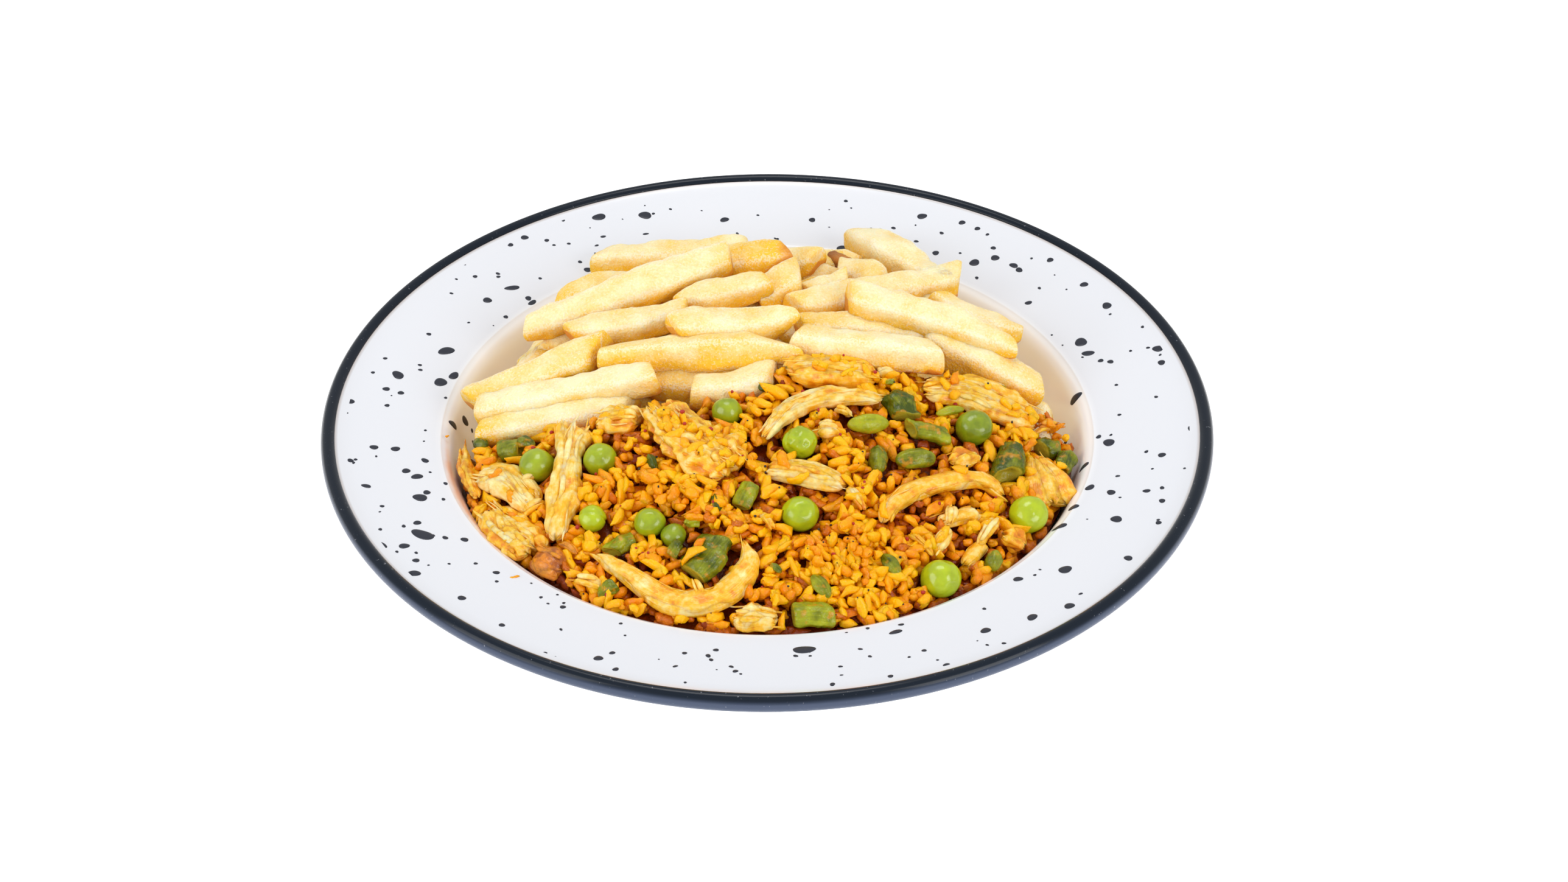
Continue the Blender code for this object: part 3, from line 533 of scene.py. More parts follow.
class Piece:
    """The mesh of one piece as it grows. Each point also carries numbers for its finish: tone says
    which of two colours it is nearer to, edge how near it is to an end or a stain, and strand is its
    place along and across a strip, so that streaks follow the strip."""

    def __init__(self):
        self.points, self.faces, self.tones, self.edges, self.strands = [], [], [], [], []
        self.total = 0

    def add(self, points, faces, tone=0.5, edge=0.0, strand=(0.0, 0.0, 0.0)):
        """Add points, in millimetres, with their faces."""
        points = np.asarray(points, float).reshape(-1, 3)
        self.points.append(points)
        self.faces += [tuple(int(i) + self.total for i in face) for face in faces]
        self.tones.append(np.broadcast_to(np.ravel(tone), len(points)))
        self.edges.append(np.broadcast_to(np.ravel(edge), len(points)))
        self.strands.append(np.broadcast_to(np.reshape(strand, (-1, 3)), points.shape))
        self.total += len(points)

    def make(self, name, finish, slot, stands_for=()):
        """Make the object, on its body, with its finish."""
        mesh = bpy.data.meshes.new(name)
        mesh.from_pydata(np.concatenate(self.points) * MM, [], self.faces)
        for label, parts, kind, field in (
            ("tone", self.tones, "FLOAT", "value"),
            ("edge", self.edges, "FLOAT", "value"),
            ("strand", self.strands, "FLOAT_VECTOR", "vector"),
        ):
            layer = mesh.attributes.new(label, kind, "POINT")
            layer.data.foreach_set(field, np.concatenate(parts).astype(np.float32).ravel())
        mesh.materials.append(finish.material)
        mesh.shade_smooth()
        obj = bpy.data.objects.new(name, mesh)
        bpy.context.scene.collection.objects.link(obj)
        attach(obj, BODY)
        if stands_for:
            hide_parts(*stands_for)
        return obj


def unevenness(points, lump, shift=0.0):
    """Smooth noise between about -1 and 1 at each of an array of points, with lumps of that size."""
    flat = (np.asarray(points, float) / lump + shift).reshape(-1, 3).tolist()
    return np.array([noise.noise(place) for place in flat]).reshape(np.shape(points)[:-1])


def in_plan(x, y, lump):
    """Smooth noise between about -1 and 1 over places in plan."""
    return unevenness(np.stack([x, y, 0 * x], -1), lump)


def curve(route, shares):
    """Points and directions at shares of the smooth curve through a route."""
    route = np.asarray(route, float)
    spans = len(route) - 1
    place = np.clip(shares, 0.0, 1.0) * spans
    index = np.minimum(place.astype(int), spans - 1)
    t = (place - index)[:, None]
    padded = np.concatenate([2 * route[:1] - route[1:2], route, 2 * route[-1:] - route[-2:-1]])
    a, b, c, d = (padded[index + step] for step in range(4))
    linear, square, cube = c - a, 2 * a - 5 * b + 4 * c - d, 3 * b - a - 3 * c + d
    points = b + 0.5 * (linear * t + square * t**2 + cube * t**3)
    slopes = linear + 2 * square * t + 3 * cube * t**2
    return points, slopes / np.linalg.norm(slopes, axis=1, keepdims=True)


def tube_faces(rows, around):
    """Faces of a closed tube whose points are given ring by ring."""
    start = np.arange(rows - 1)[:, None] * around
    here = np.arange(around)[None, :]
    after = (here + 1) % around
    quads = np.stack([start + here, start + around + here, start + around + after, start + after], -1)
    caps = [tuple(range(around)), tuple(range(rows * around - 1, (rows - 1) * around - 1, -1))]
    return [tuple(face) for face in quads.reshape(-1, 4).tolist()] + caps


def blunt_ends(rows, rounding, hollow=0.0):
    """Shares along a bar and the size of its section there, for flat ends with rounded edges.
    hollow sinks the middle of both ends."""
    inner = [(hollow, 0.03), (hollow * 0.9, 0.35), (0.0, 0.62)] if hollow else [(0.0, 0.03), (0.0, 0.45)]
    end = inner + [(0.0, 0.8), (0.1 * rounding, 0.9), (0.4 * rounding, 0.97), (rounding, 1.0)]
    middle = [(share, 1.0) for share in np.linspace(rounding, 1.0 - rounding, rows)[1:-1]]
    both = end + middle + [(1.0 - share, reach) for share, reach in reversed(end)]
    return np.array(both).T


def tapered_ends(rows, fullness=3.0, point=0.02):
    """Shares along a strip and the size of its section there, narrowing to points at the ends."""
    share = 0.5 - 0.5 * np.cos(np.linspace(0.0, math.pi, rows))
    reach = (1.0 - np.abs(2.0 * share - 1.0) ** fullness) ** 0.5
    return share, np.maximum(reach, point)


def sweep(route, shares, reach, width, thickness, around, squareness=2.0, roll=0.0, slant=(0.0, 0.0)):
    """Points of a tube along a route, with its rings' angles. squareness 2 gives a round section and
    more a squarer one, roll turns it, and slant cuts the two ends askew."""
    middle, along = curve(route, shares)
    side = np.cross(along, (0.0, 0.0, 1.0))
    side /= np.linalg.norm(side, axis=1, keepdims=True)
    up = np.cross(side, along)
    angle = np.linspace(0.0, 2.0 * math.pi, around, endpoint=False)
    out = (np.abs(np.cos(angle)) ** squareness + np.abs(np.sin(angle)) ** squareness) ** (-1 / squareness)
    flat, tall = 0.5 * width * out * np.cos(angle), 0.5 * thickness * out * np.sin(angle)
    across = (flat * math.cos(roll) - tall * math.sin(roll)) * np.asarray(reach)[:, None]
    above = (flat * math.sin(roll) + tall * math.cos(roll)) * np.asarray(reach)[:, None]
    weight = slant[0] * (1.0 - np.clip(shares, 0, 1)) ** 5 - slant[1] * np.clip(shares, 0, 1) ** 5
    ahead = weight[:, None] * across
    points = middle[:, None] + side[:, None] * across[..., None] + up[:, None] * above[..., None]
    return points + along[:, None] * ahead[..., None], angle, (middle, along, side, up)


def lathe(section, steps):
    """Points of a section turned about Z, ring by ring."""
    section = np.asarray(section, float)
    turn = np.linspace(0.0, 2.0 * math.pi, steps, endpoint=False)
    ring = np.stack([np.cos(turn), np.sin(turn)], -1)
    points = np.concatenate([
        section[:, None, :1] * ring[None], np.broadcast_to(section[:, None, 1:], (len(section), steps, 1))
    ], -1)
    return points


def smooth_section(section, pieces):
    """More points on a smooth curve through a section's points."""
    flat = [(r, z, 0.0) for r, z in section]
    points, _ = curve(flat, np.linspace(0.0, 1.0, pieces * (len(flat) - 1) + 1))
    return points[:, :2]


def wall_radius(height):
    """Radius of the inside of the well at a height."""
    wall = [(r, z) for r, z in UPPER_FACE if 66.0 <= r <= 92.0]
    return np.interp(height, [z for r, z in wall], [r for r, z in wall])


def rice_ground(x, y):
    """The rice without its grains: a low dome, uneven in clumps."""
    x, y = np.asarray(x, float), np.asarray(y, float)
    dome = RICE_PEAK - 22.0 * ((x + 2.0) / 90.0) ** 2 - 18.0 * ((y - 5.0) / 90.0) ** 2
    return dome + CLUMP_HEIGHT * in_plan(x, y, CLUMP_SIZE)


def dividing_line(x):
    """Where the rice ends and the fries begin, as a distance along Y for each place across."""
    left = -9.0 + 0.06 * x
    right = 9.0 - 25.0 * np.maximum((x - 20.0) / 68.0, 0.0) ** 12
    share = np.clip((x + 2.0) / 10.0, 0.0, 1.0)
    return left + (right - left) * share * share * (3.0 - 2.0 * share)


def fries_surface(x, y):
    """The level at which the middle of the topmost fries lies."""
    pile = FRIES_PEAK - 13.0 * (x / 80.0) ** 2 - 9.0 * ((y - 35.0) / 50.0) ** 2
    return np.minimum(pile, FRIES_AT_WALL + FRIES_SLOPE * (HEAP_REACH - np.hypot(x, y)))


def on_rice(route, lift):
    """Lay a route in plan on the rice."""
    return [(x, y, float(rice_ground(x, y)) + lift) for x, y in route]


def arched(start, end, lift, rise):
    """A short route on the rice that rises a little in its middle."""
    first, last = on_rice((start, end), lift)
    middle = np.mean((first, last), axis=0) + np.array([0.0, 0.0, rise])
    return first, middle, last


def heap_core(top, near, far, columns, rows):
    """A closed block of food in the well between two lines across it, with its upper face at top."""
    share = np.linspace(-1.0, 1.0, columns + 1)
    x = CORE_REACH * np.sin(share * math.pi / 2.0 * 0.97)
    edge = np.sqrt(CORE_REACH**2 - x**2)
    low, high = np.maximum(near(x), -edge), np.minimum(far(x), edge)
    y = low[:, None] + (high - low)[:, None] * np.linspace(0.0, 1.0, rows + 1)[None]
    x = np.broadcast_to(x[:, None], y.shape)
    z = top(x, y)
    limit = wall_radius(z) - 0.6
    shrink = np.minimum(1.0, limit / np.maximum(np.hypot(x, y), 1.0))
    upper = np.stack([x * shrink, y * shrink, z], -1)
    lower = np.stack([x * CORE_FOOT, y * CORE_FOOT, 0 * x + CORE_FLOOR], -1)
    points = np.concatenate([upper.reshape(-1, 3), lower.reshape(-1, 3)])
    span = rows + 1
    half = upper.shape[0] * span
    faces = []
    for i in range(columns):
        for j in range(rows):
            a = i * span + j
            faces.append((a, a + span, a + span + 1, a + 1))
            faces.append((a + half, a + half + 1, a + half + span + 1, a + half + span))
    rim = list(range(span)) + [i * span + rows for i in range(1, columns + 1)]
    rim += [columns * span + j for j in range(rows - 1, -1, -1)]
    rim += [i * span for i in range(columns - 1, 0, -1)]
    for a, b in zip(rim, rim[1:] + rim[:1]):
        faces.append((a, b, b + half, a + half))
    return points, faces


def glaze_finish(settings):
    """Gloss white glaze, stained by sauce where edge is set, brownish beside the dark band, and painted
    lighter on the wall of the well where strand is set, as painted light.
    """
    finish = Finish("white_glaze", roughness=0.14, coat_weight=0.35, coat_roughness=0.05)
    spread = finish.ramp(finish.lumps(9.0) + finish.number("edge"), 1.0, 1.5)
    stained = finish.mixed(spread * 0.6, settings.glaze, (0.86, 0.36, 0.06))
    beside_band = finish.number("tone") * 0.55
    # Painted light: the wall of the well is mixed towards the lighter glaze.
    painted_light_wall = finish.mixed(finish.part("strand", 0), stained, settings.wall_glaze_painted_light)
    finish.wear("Base Color", finish.mixed(beside_band, painted_light_wall, (0.30, 0.20, 0.13)))
    return finish


def bead_section(proud, first, last, steps):
    """Part of the rolled edge's section, between two angles and a little proud of it."""
    turn = np.radians(np.linspace(first, last, steps))
    wide, tall = BEAD_RADIUS + proud, BEAD_HALF_HEIGHT + proud
    return np.stack([BEAD_MIDDLE[0] + wide * np.cos(turn), BEAD_MIDDLE[1] + tall * np.sin(turn)], -1)


def lathe_faces(rows, steps, closed):
    """Faces of a turned section, whose rows run along the section."""
    faces = []
    last = rows if closed else rows - 1
    for i in range(last):
        for j in range(steps):
            a, b = i * steps + j, i * steps + (j + 1) % steps
            c, d = ((i + 1) % rows) * steps + (j + 1) % steps, ((i + 1) % rows) * steps + j
            faces.append((a, d, c, b))
    return faces


def speckle(piece, rng, x, y, long, short, heading, height):
    """One raised dark speckle with an uneven outline, laid on the plate's upper face."""
    section = smooth_section(UPPER_FACE, 8)
    run = np.concatenate([[0.0], np.cumsum(np.hypot(*np.diff(section, axis=0).T))])
    radius, azimuth = math.hypot(x, y), math.atan2(y, x)
    middle = np.interp(radius, section[:, 0], run)
    around = 22
    angle = np.linspace(0.0, 2.0 * math.pi, around, endpoint=False)
    wobble = 1.0 + 0.07 * np.cos(2 * angle + rng.uniform(0, 6)) + 0.05 * np.cos(3 * angle + rng.uniform(0, 6))
    turned = math.radians(heading)
    rings = []
    for share, rise in ((1.0, -0.03), (0.92, 0.5), (0.65, 0.9), (0.3, 1.0)):
        along = 0.5 * long * share * wobble * np.cos(angle)
        aside = 0.5 * short * share * wobble * np.sin(angle)
        around_rim = along * math.cos(turned) - aside * math.sin(turned)
        place = middle + along * math.sin(turned) + aside * math.cos(turned)
        out, up = np.interp(place, run, section[:, 0]), np.interp(place, run, section[:, 1])
        slope_out = (np.interp(place + 0.5, run, section[:, 0]) - out) / 0.5
        slope_up = (np.interp(place + 0.5, run, section[:, 1]) - up) / 0.5
        lift = 0.03 + rise * min(height, 0.06 * short)
        out, up = out - slope_up * lift, up + slope_out * lift
        turn = azimuth + around_rim / radius
        rings.append(np.stack([out * np.cos(turn), out * np.sin(turn), up], -1))
    faces = [face[::-1] for face in lathe_faces(4, around, closed=False)]
    piece.add(np.array(rings), faces + [tuple(range(3 * around, 4 * around))])


class DISH_OT_add_plate(bpy.types.Operator):
    """Make the glazed soup plate, its dark rolled edge and its speckles"""

    bl_idname = "dish.add_plate"
    bl_label = "Plate"

    def execute(self, context):
        settings = context.scene.dish_plate
        rng = np.random.default_rng(SEEDS["plate"])
        bead = bead_section(0.0, 150.0, -150.0, 28)
        upper, under = smooth_section(UPPER_FACE, 6), smooth_section(UNDER_FACE, 4)
        section = np.concatenate([upper, FOOT_OF_BEAD, bead, under])
        section[:, 0] = np.maximum(section[:, 0], 0.01)
        points = lathe(section, PLATE_STEPS)
        radius = np.hypot(points[..., 0], points[..., 1])
        angle = np.degrees(np.arctan2(points[..., 1], points[..., 0]))
        sector = np.clip(1.0 - np.abs(angle - SAUCE_HEADING) / SAUCE_SPREAD, 0.0, 1.0)
        sauce = np.clip(1.0 - np.abs(radius - SAUCE_RADIUS) / SAUCE_REACH, 0.0, 1.0)
        sauce = sauce * np.minimum(1.5 * sector, 1.0) * (points[..., 2] > 25.0)
        beside_band = np.clip(1.0 - np.abs(radius - BROWN_LINE) / BROWN_LINE_REACH, 0.0, 1.0)
        beside_band = beside_band * (points[..., 2] > 35.0)
        # Share of painted light on the wall of the well, fading out over the lip and kept off the sauce; it
        # reaches the glaze through strand.
        inside = np.interp(radius, LIP_OF_WELL, (1.0, 0.0)) * (1.0 - np.clip(sauce, 0.0, 1.0))
        strand = np.stack([inside.ravel()] + 2 * [np.zeros(inside.size)], -1)
        plate = Piece()
        faces = lathe_faces(len(section), PLATE_STEPS, closed=False)
        plate.add(points, faces, tone=beside_band, edge=sauce, strand=strand)
        plate.make("plate_glaze", glaze_finish(settings), "glaze", ["plate"])

        outer = bead_section(BAND_PROUD, BAND_FROM, BAND_TO, 40)
        inner = bead_section(-0.4, BAND_TO, BAND_FROM, 20)
        band_section = np.concatenate([outer, inner])
        # Share of each point of the band that takes the painted reflection on the outer side of the rolled
        # edge.
        lower = np.interp(np.linspace(BAND_FROM, BAND_TO, 40), (15.0, 42.0), (1.0, 0.0))
        lower = np.repeat(np.concatenate([lower, np.zeros(20)]), PLATE_STEPS)
        band = Piece()
        faces = lathe_faces(len(band_section), PLATE_STEPS, closed=True)
        band.add(lathe(band_section, PLATE_STEPS), faces, edge=lower)
        finish = Finish("dark_rim", roughness=0.18, specular_ior_level=0.22)
        dust = finish.ramp(finish.lumps(0.9, 4.0), 0.68, 0.76)
        # The dark band mixed towards its painted reflection where edge is set.
        band_with_painted_reflection = finish.mixed(finish.number("edge") * 0.9, settings.band, settings.band_painted_reflection)
        finish.wear("Base Color", finish.mixed(dust * 0.35, band_with_painted_reflection, (0.60, 0.62, 0.68)))
        band.make("plate_band", finish, "glaze")

        speckles = Piece()
        height = settings.speckle_height / MM
        for x, y, long, short, heading in SPECKLES:
            speckle(speckles, rng, x, y, long + 0.15, short + 0.15, heading, height)
        for _ in range(settings.small_speckles):
            angle, radius = rng.uniform(0.0, 2.0 * math.pi), rng.uniform(93.0, 119.0)
            wide = rng.uniform(0.45, 1.15)
            long, heading = wide * rng.uniform(1.0, 1.5), rng.uniform(0.0, 90.0)
            x, y = radius * math.cos(angle), radius * math.sin(angle)
            speckle(speckles, rng, x, y, long, wide, heading, height)
        tint = (*settings.speckle, 1.0)
        dark = Finish("dark_speckles", roughness=0.3, specular_ior_level=0.3, base_color=tint)
        speckles.make("plate_speckles", dark, "glaze")
        return {"FINISHED"}


def fries_finish(settings):
    """Fried potato, pale on top and golden at its ends, with painted shade in gold on its sides and
    underside, and a fine pale crust on its corners that is partly a painted highlight.
    """
    finish = Finish(
        "fried_potato", roughness=0.5, specular_ior_level=0.3, subsurface_weight=0.3, subsurface_scale=0.003,
        subsurface_radius=(1.0, 0.6, 0.2),
    )
    tone, edge = finish.number("tone"), finish.number("edge")
    fine = finish.lumps(0.7, 3.0, shift=0.3)
    # edge brings the golden ends and brown marks, and also the painted shade on sides and undersides.
    golden = tone * 0.7 + edge + (finish.lumps(8.0, 3.0) - 0.5) * 1.6 + (fine - 0.5) * 0.9 + 0.08
    fried = finish.mixed(golden.limited(), settings.pale, settings.golden)
    # Pale crust on the corners, partly a painted highlight where the corners catch the light.
    crust_and_painted_highlight = finish.ramp(finish.part("strand", 0) * 0.2 + finish.lumps(0.55, 2.0), 0.54, 0.72)
    fried = finish.mixed(crust_and_painted_highlight * 0.45, fried, (1.0, 0.95, 0.82))
    toasted = finish.mixed(finish.ramp(edge, 0.95, 1.45), fried, settings.toasted)
    finish.wear("Base Color", finish.mixed(finish.ramp(edge, 1.6, 2.2), toasted, settings.brown))
    finish.relief(finish.lumps(0.55, 3.0) + finish.lumps(1.9, 2.0, shift=0.1) * 1.2, 0.4)
    return finish


def outward_of(points, line, along):
    """Directions from a tube's middle line to its points, square to the line."""
    away = points - line[:, None]
    away -= along[:, None] * np.sum(away * along[:, None], -1, keepdims=True)
    return away / np.maximum(np.linalg.norm(away, axis=-1, keepdims=True), 0.01)


def add_fry(piece, rng, start, end, width, gold, ends=(0.9, 0.9), marks=(), around=48):
    """One thick-cut fry: a square bar, a little bowed and uneven, with its ends narrowed and cut askew."""
    start, end = np.array(start, float), np.array(end, float)
    length = np.linalg.norm(end - start)
    middle = (start + end) / 2.0 + rng.normal(0.0, 0.7, 3)
    shares, reach = blunt_ends(int(length * 0.9), 4.2 / length)
    reach = reach * (1.0 + 0.09 * np.sin(shares * rng.uniform(3.0, 8.0) + rng.uniform(0.0, 6.0)))
    narrowed = np.ones(len(shares))
    for from_end, full in zip((shares, 1.0 - shares), ends):
        near = np.clip(1.0 - from_end / rng.uniform(0.22, 0.42), 0.0, 1.0)
        narrowed *= 1.0 - (1.0 - full) * near**1.3
    slant = rng.uniform(0.2, 0.8, 2) * rng.choice((-1.0, 1.0), 2)
    points, angle, (line, along, side, up) = sweep(
        (start, middle, end), shares, reach * narrowed, 1.1 * width, 1.04 * width, around,
        rng.uniform(2.6, 3.3), rng.normal(0.0, 0.2), slant,
    )
    askew = (0.7 * width * (1.0 - narrowed))[:, None]
    shove = askew * (up * rng.choice((-1.0, 0.3, 1.0)) + side * rng.choice((-1.0, 0.0, 1.0)))
    points = points + shove[:, None]
    outward = outward_of(points, line + shove, along)
    shift = rng.uniform(0.0, 50.0)
    bumps = 1.0 * unevenness(points, 11.0, shift) + 0.6 * unevenness(points, 4.5, shift)
    bumps += 0.22 * unevenness(points, 1.5, shift)
    points = points + outward * (bumps * np.minimum(reach, 1.0)[:, None])[..., None]
    corner = np.abs(np.sin(2.0 * angle)) ** 16
    to_end = np.minimum(shares, 1.0 - shares) * length
    ends_gold = np.exp(-np.maximum(to_end, 0.0) / 2.2) * rng.uniform(0.2, 0.6)
    # Painted shade: points that face sideways and down are pushed towards golden.
    painted_shade_below = np.clip(0.66 - outward[..., 2], 0.0, 1.3)
    edge = ends_gold[:, None] + 0.85 * painted_shade_below
    for share, right, rise, radius, strength in marks:
        index = int(np.argmin(np.abs(shares - share)))
        spot = line[index] + 0.5 * width * (side[index] * right + up[index] * rise)
        edge = edge + strength * np.exp(-((np.linalg.norm(points - spot, axis=-1) / radius) ** 2))
    # corners carry the pale crust and its painted highlight to the finish through strand.
    corners = np.broadcast_to(corner, edge.shape).ravel()
    strand = np.stack([corners, 0.0 * corners, 0.0 * corners], -1)
    piece.add(points, tube_faces(len(shares), around), gold, edge.ravel(), strand)


class DISH_OT_add_fries(bpy.types.Operator):
    """Make the pile of fries on its core"""

    bl_idname = "dish.add_fries"
    bl_label = "Fries"

    def execute(self, context):
        settings = context.scene.dish_fries
        rng = np.random.default_rng(SEEDS["fries"])
        finish = fries_finish(settings)
        core = Piece()
        core.add(*heap_core(
            lambda x, y: fries_surface(x, y) - 8.0 + in_plan(x, y, 6.0),
            lambda x: dividing_line(x) + 1.5, lambda x: 0.0 * x + HEAP_REACH, 60, 40,
        ), 0.6, 0.15)
        core.make("fries_core", finish, "fries", ["fries"])
        pile = Piece()
        for index, (start, end, width, gold, ends) in enumerate(FRIES):
            marks = [mark[1:] for mark in MARKS if mark[0] == index]
            own = np.random.default_rng(SEEDS["fry"] + index)
            add_fry(pile, own, start, end, width, gold, ends, marks)
        pile.make("fries_on_top", finish, "fries")
        under = Piece()
        made = 0
        while made < settings.hidden:
            x, y = rng.uniform(-70.0, 70.0), rng.uniform(8.0, 78.0)
            heading, half = rng.normal(0.15, 0.45), rng.uniform(18.0, 26.0)
            step = np.array([math.cos(heading), math.sin(heading)]) * half
            ends = [np.array([x, y]) - step, np.array([x, y]) + step]
            if any(np.hypot(*end) > 80.0 or end[1] < dividing_line(end[0]) + 7.0 for end in ends):
                continue
            depth = rng.uniform(6.5, 11.0)
            lay = [(*end, float(fries_surface(*end)) - depth) for end in ends]
            add_fry(under, rng, lay[0], lay[1], rng.uniform(8.6, 10.0), rng.uniform(0.5, 1.0), around=24)
            made += 1
        for radius, number in FRIES_ALONG_WALL:
            for turn in np.radians(np.linspace(8.0, 172.0, number)):
                turn = turn + rng.normal(0.0, 0.05)
                middle = radius * np.array([math.cos(turn), math.sin(turn)])
                heading = turn + math.pi / 2.0 + rng.normal(0.0, 0.2)
                step = np.array([math.cos(heading), math.sin(heading)]) * rng.uniform(12.0, 16.0)
                ends = [end * min(1.0, 79.5 / np.hypot(*end)) for end in (middle - step, middle + step)]
                lay = [(*end, float(fries_surface(*end)) - 6.0) for end in ends]
                add_fry(under, rng, lay[0], lay[1], rng.uniform(8.2, 9.4), rng.uniform(0.2, 0.8), around=24)
        under.make("fries_underneath", finish, "fries")
        tip = Piece()
        start, end, width = BURNT_TIP
        add_fry(tip, rng, start, end, width, 0.9)
        tip.edges = [edge + 1.8 for edge in tip.edges]
        tip.make("fries_burnt_tip", finish, "fries")
        return {"FINISHED"}


def tree_of(*nodes):
    """A search tree of the faces of some of the part's solids, in millimetres."""
    points, faces = [], []
    for node in nodes:
        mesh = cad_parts[node].data
        start = len(points)
        points += [vert.co / MM for vert in mesh.vertices]
        faces += [tuple(index + start for index in face.vertices) for face in mesh.polygons]
    return BVHTree.FromPolygons(points, faces)


def clearance(tree, point):
    """Distance from a point to the nearest solid, below 0 inside one."""
    place, normal, _, distance = tree.find_nearest(Vector(point))
    inside = (Vector(point) - place).dot(normal) < 0.0
    return -distance if inside else distance


def grain_shapes(rng, number, length, width):
    """Points of some different grains: blunt, with flat broken sides, and now and then bent. All
    have the same faces."""
    rows, around = 7, 8
    shapes = []
    for index in range(number):
        long = length * rng.choice((0.55, 0.75, 0.95, 1.15, 1.4), p=(0.18, 0.24, 0.26, 0.2, 0.12))
        wide = width * rng.uniform(0.85, 1.2)
        share = np.array([0.0, 0.09, 0.28, 0.5, 0.72, 0.91, 1.0])
        reach = np.array([0.42, 0.78, 1.0, 1.06, 1.0, 0.78, 0.42]) * rng.uniform(0.8, 1.18, 7)
        bend = rng.normal(0.0, 0.35)
        route = [(-long / 2, 0.0, -bend), (0.0, 0.0, bend), (long / 2, 0.0, -bend)]
        points, _, _ = sweep(route, share, reach, wide, wide * rng.uniform(0.62, 0.85), around, 2.5)
        points = points.reshape(-1, 3)
        points = points * (1.0 + 0.42 * unevenness(points, 1.4, 10.0 * index)[..., None])
        for _ in range(6):
            towards = rng.normal(0.0, 1.0, 3) * (0.8, 1.0, 1.0)
            towards /= np.linalg.norm(towards)
            reached = points @ towards
            beyond = np.maximum(reached - rng.uniform(0.52, 0.85) * reached.max(), 0.0)
            points = points - 0.9 * beyond[:, None] * towards
        shapes.append(points + rng.normal(0.0, 0.05, points.shape))
    return shapes, tube_faces(rows, around)


RICE_TONES = ("bright", "golden", "orange", "deep")


class GrainBin:
    """Loose grains sorted by tone, one piece for each tone."""

    def __init__(self, rng, settings):
        self.rng = rng
        self.shapes, self.faces = grain_shapes(
            rng, 40, settings.grain_length / MM, settings.grain_width / MM
        )
        self.pieces = [Piece() for _ in RICE_TONES]
        self.tops = []

    def drop(self, place, normal, heading, tilt, tone, scale=1.0, seen=True):
        """Lay one grain at a place, along a heading, tipped up by a tilt."""
        normal = np.array(normal, float)
        along = np.array([math.cos(heading), math.sin(heading), 0.0])
        along -= normal * along.dot(normal)
        along /= max(np.linalg.norm(along), 0.01)
        along = along * math.cos(tilt) + normal * math.sin(tilt)
        side = np.cross(normal, along)
        side /= max(np.linalg.norm(side), 0.01)
        up = np.cross(along, side)
        turn = self.rng.uniform(0.0, 2.0 * math.pi)
        side, up = side * math.cos(turn) + up * math.sin(turn), up * math.cos(turn) - side * math.sin(turn)
        shape = self.shapes[self.rng.integers(len(self.shapes))] * scale
        points = np.array(place) + shape[:, :1] * along + shape[:, 1:2] * side + shape[:, 2:] * up
        index = int(np.clip(tone * len(RICE_TONES), 0, len(RICE_TONES) - 1))
        self.pieces[index].add(points, self.faces, self.rng.random())
        if seen:
            self.tops.append(points[np.argmax(points[:, 2])])


def ground_normal(x, y):
    """The direction that the rice's broad surface faces."""
    step = 2.0
    slope_x = (rice_ground(x + step, y) - rice_ground(x - step, y)) / (2 * step)
    slope_y = (rice_ground(x, y + step) - rice_ground(x, y - step)) / (2 * step)
    normal = np.array([-float(slope_x), -float(slope_y), 1.0])
    return normal / np.linalg.norm(normal)


def rice_finish(name, light, dark):
    """Moist rice between two colours, with darker patches of sauce."""
    finish = Finish(
        name, roughness=0.22, specular_ior_level=0.28, subsurface_weight=0.35, subsurface_scale=0.0015,
        subsurface_radius=(1.0, 0.5, 0.1),
    )
    mask = finish.number("tone") * 0.6 + finish.lumps(2.4, 2.0) * 1.4
    mask = mask + finish.lumps(0.8, 1.0, 0.7) * 0.8 - 1.0
    finish.wear("Base Color", finish.mixed(mask.limited(), light, dark))
    finish.relief(finish.lumps(0.7, 2.0), 0.22)
    return finish


class Bed:
    """Where grains may lie: inside the well, off the fries and clear of the toppings."""

    def __init__(self, solids):
        self.tree = tree_of(*solids)

    def is_free(self, place, height=0.0, reach=1.2):
        """Grains that lie high keep further away, so that they don't bury the toppings."""
        x, y, z = place
        inside = math.hypot(x, y) < wall_radius(min(z, 29.0)) - 1.7
        away = reach + 0.75 * max(height - 0.6, 0.0)
        return inside and y < dividing_line(x) - 0.6 and clearance(self.tree, place) > away


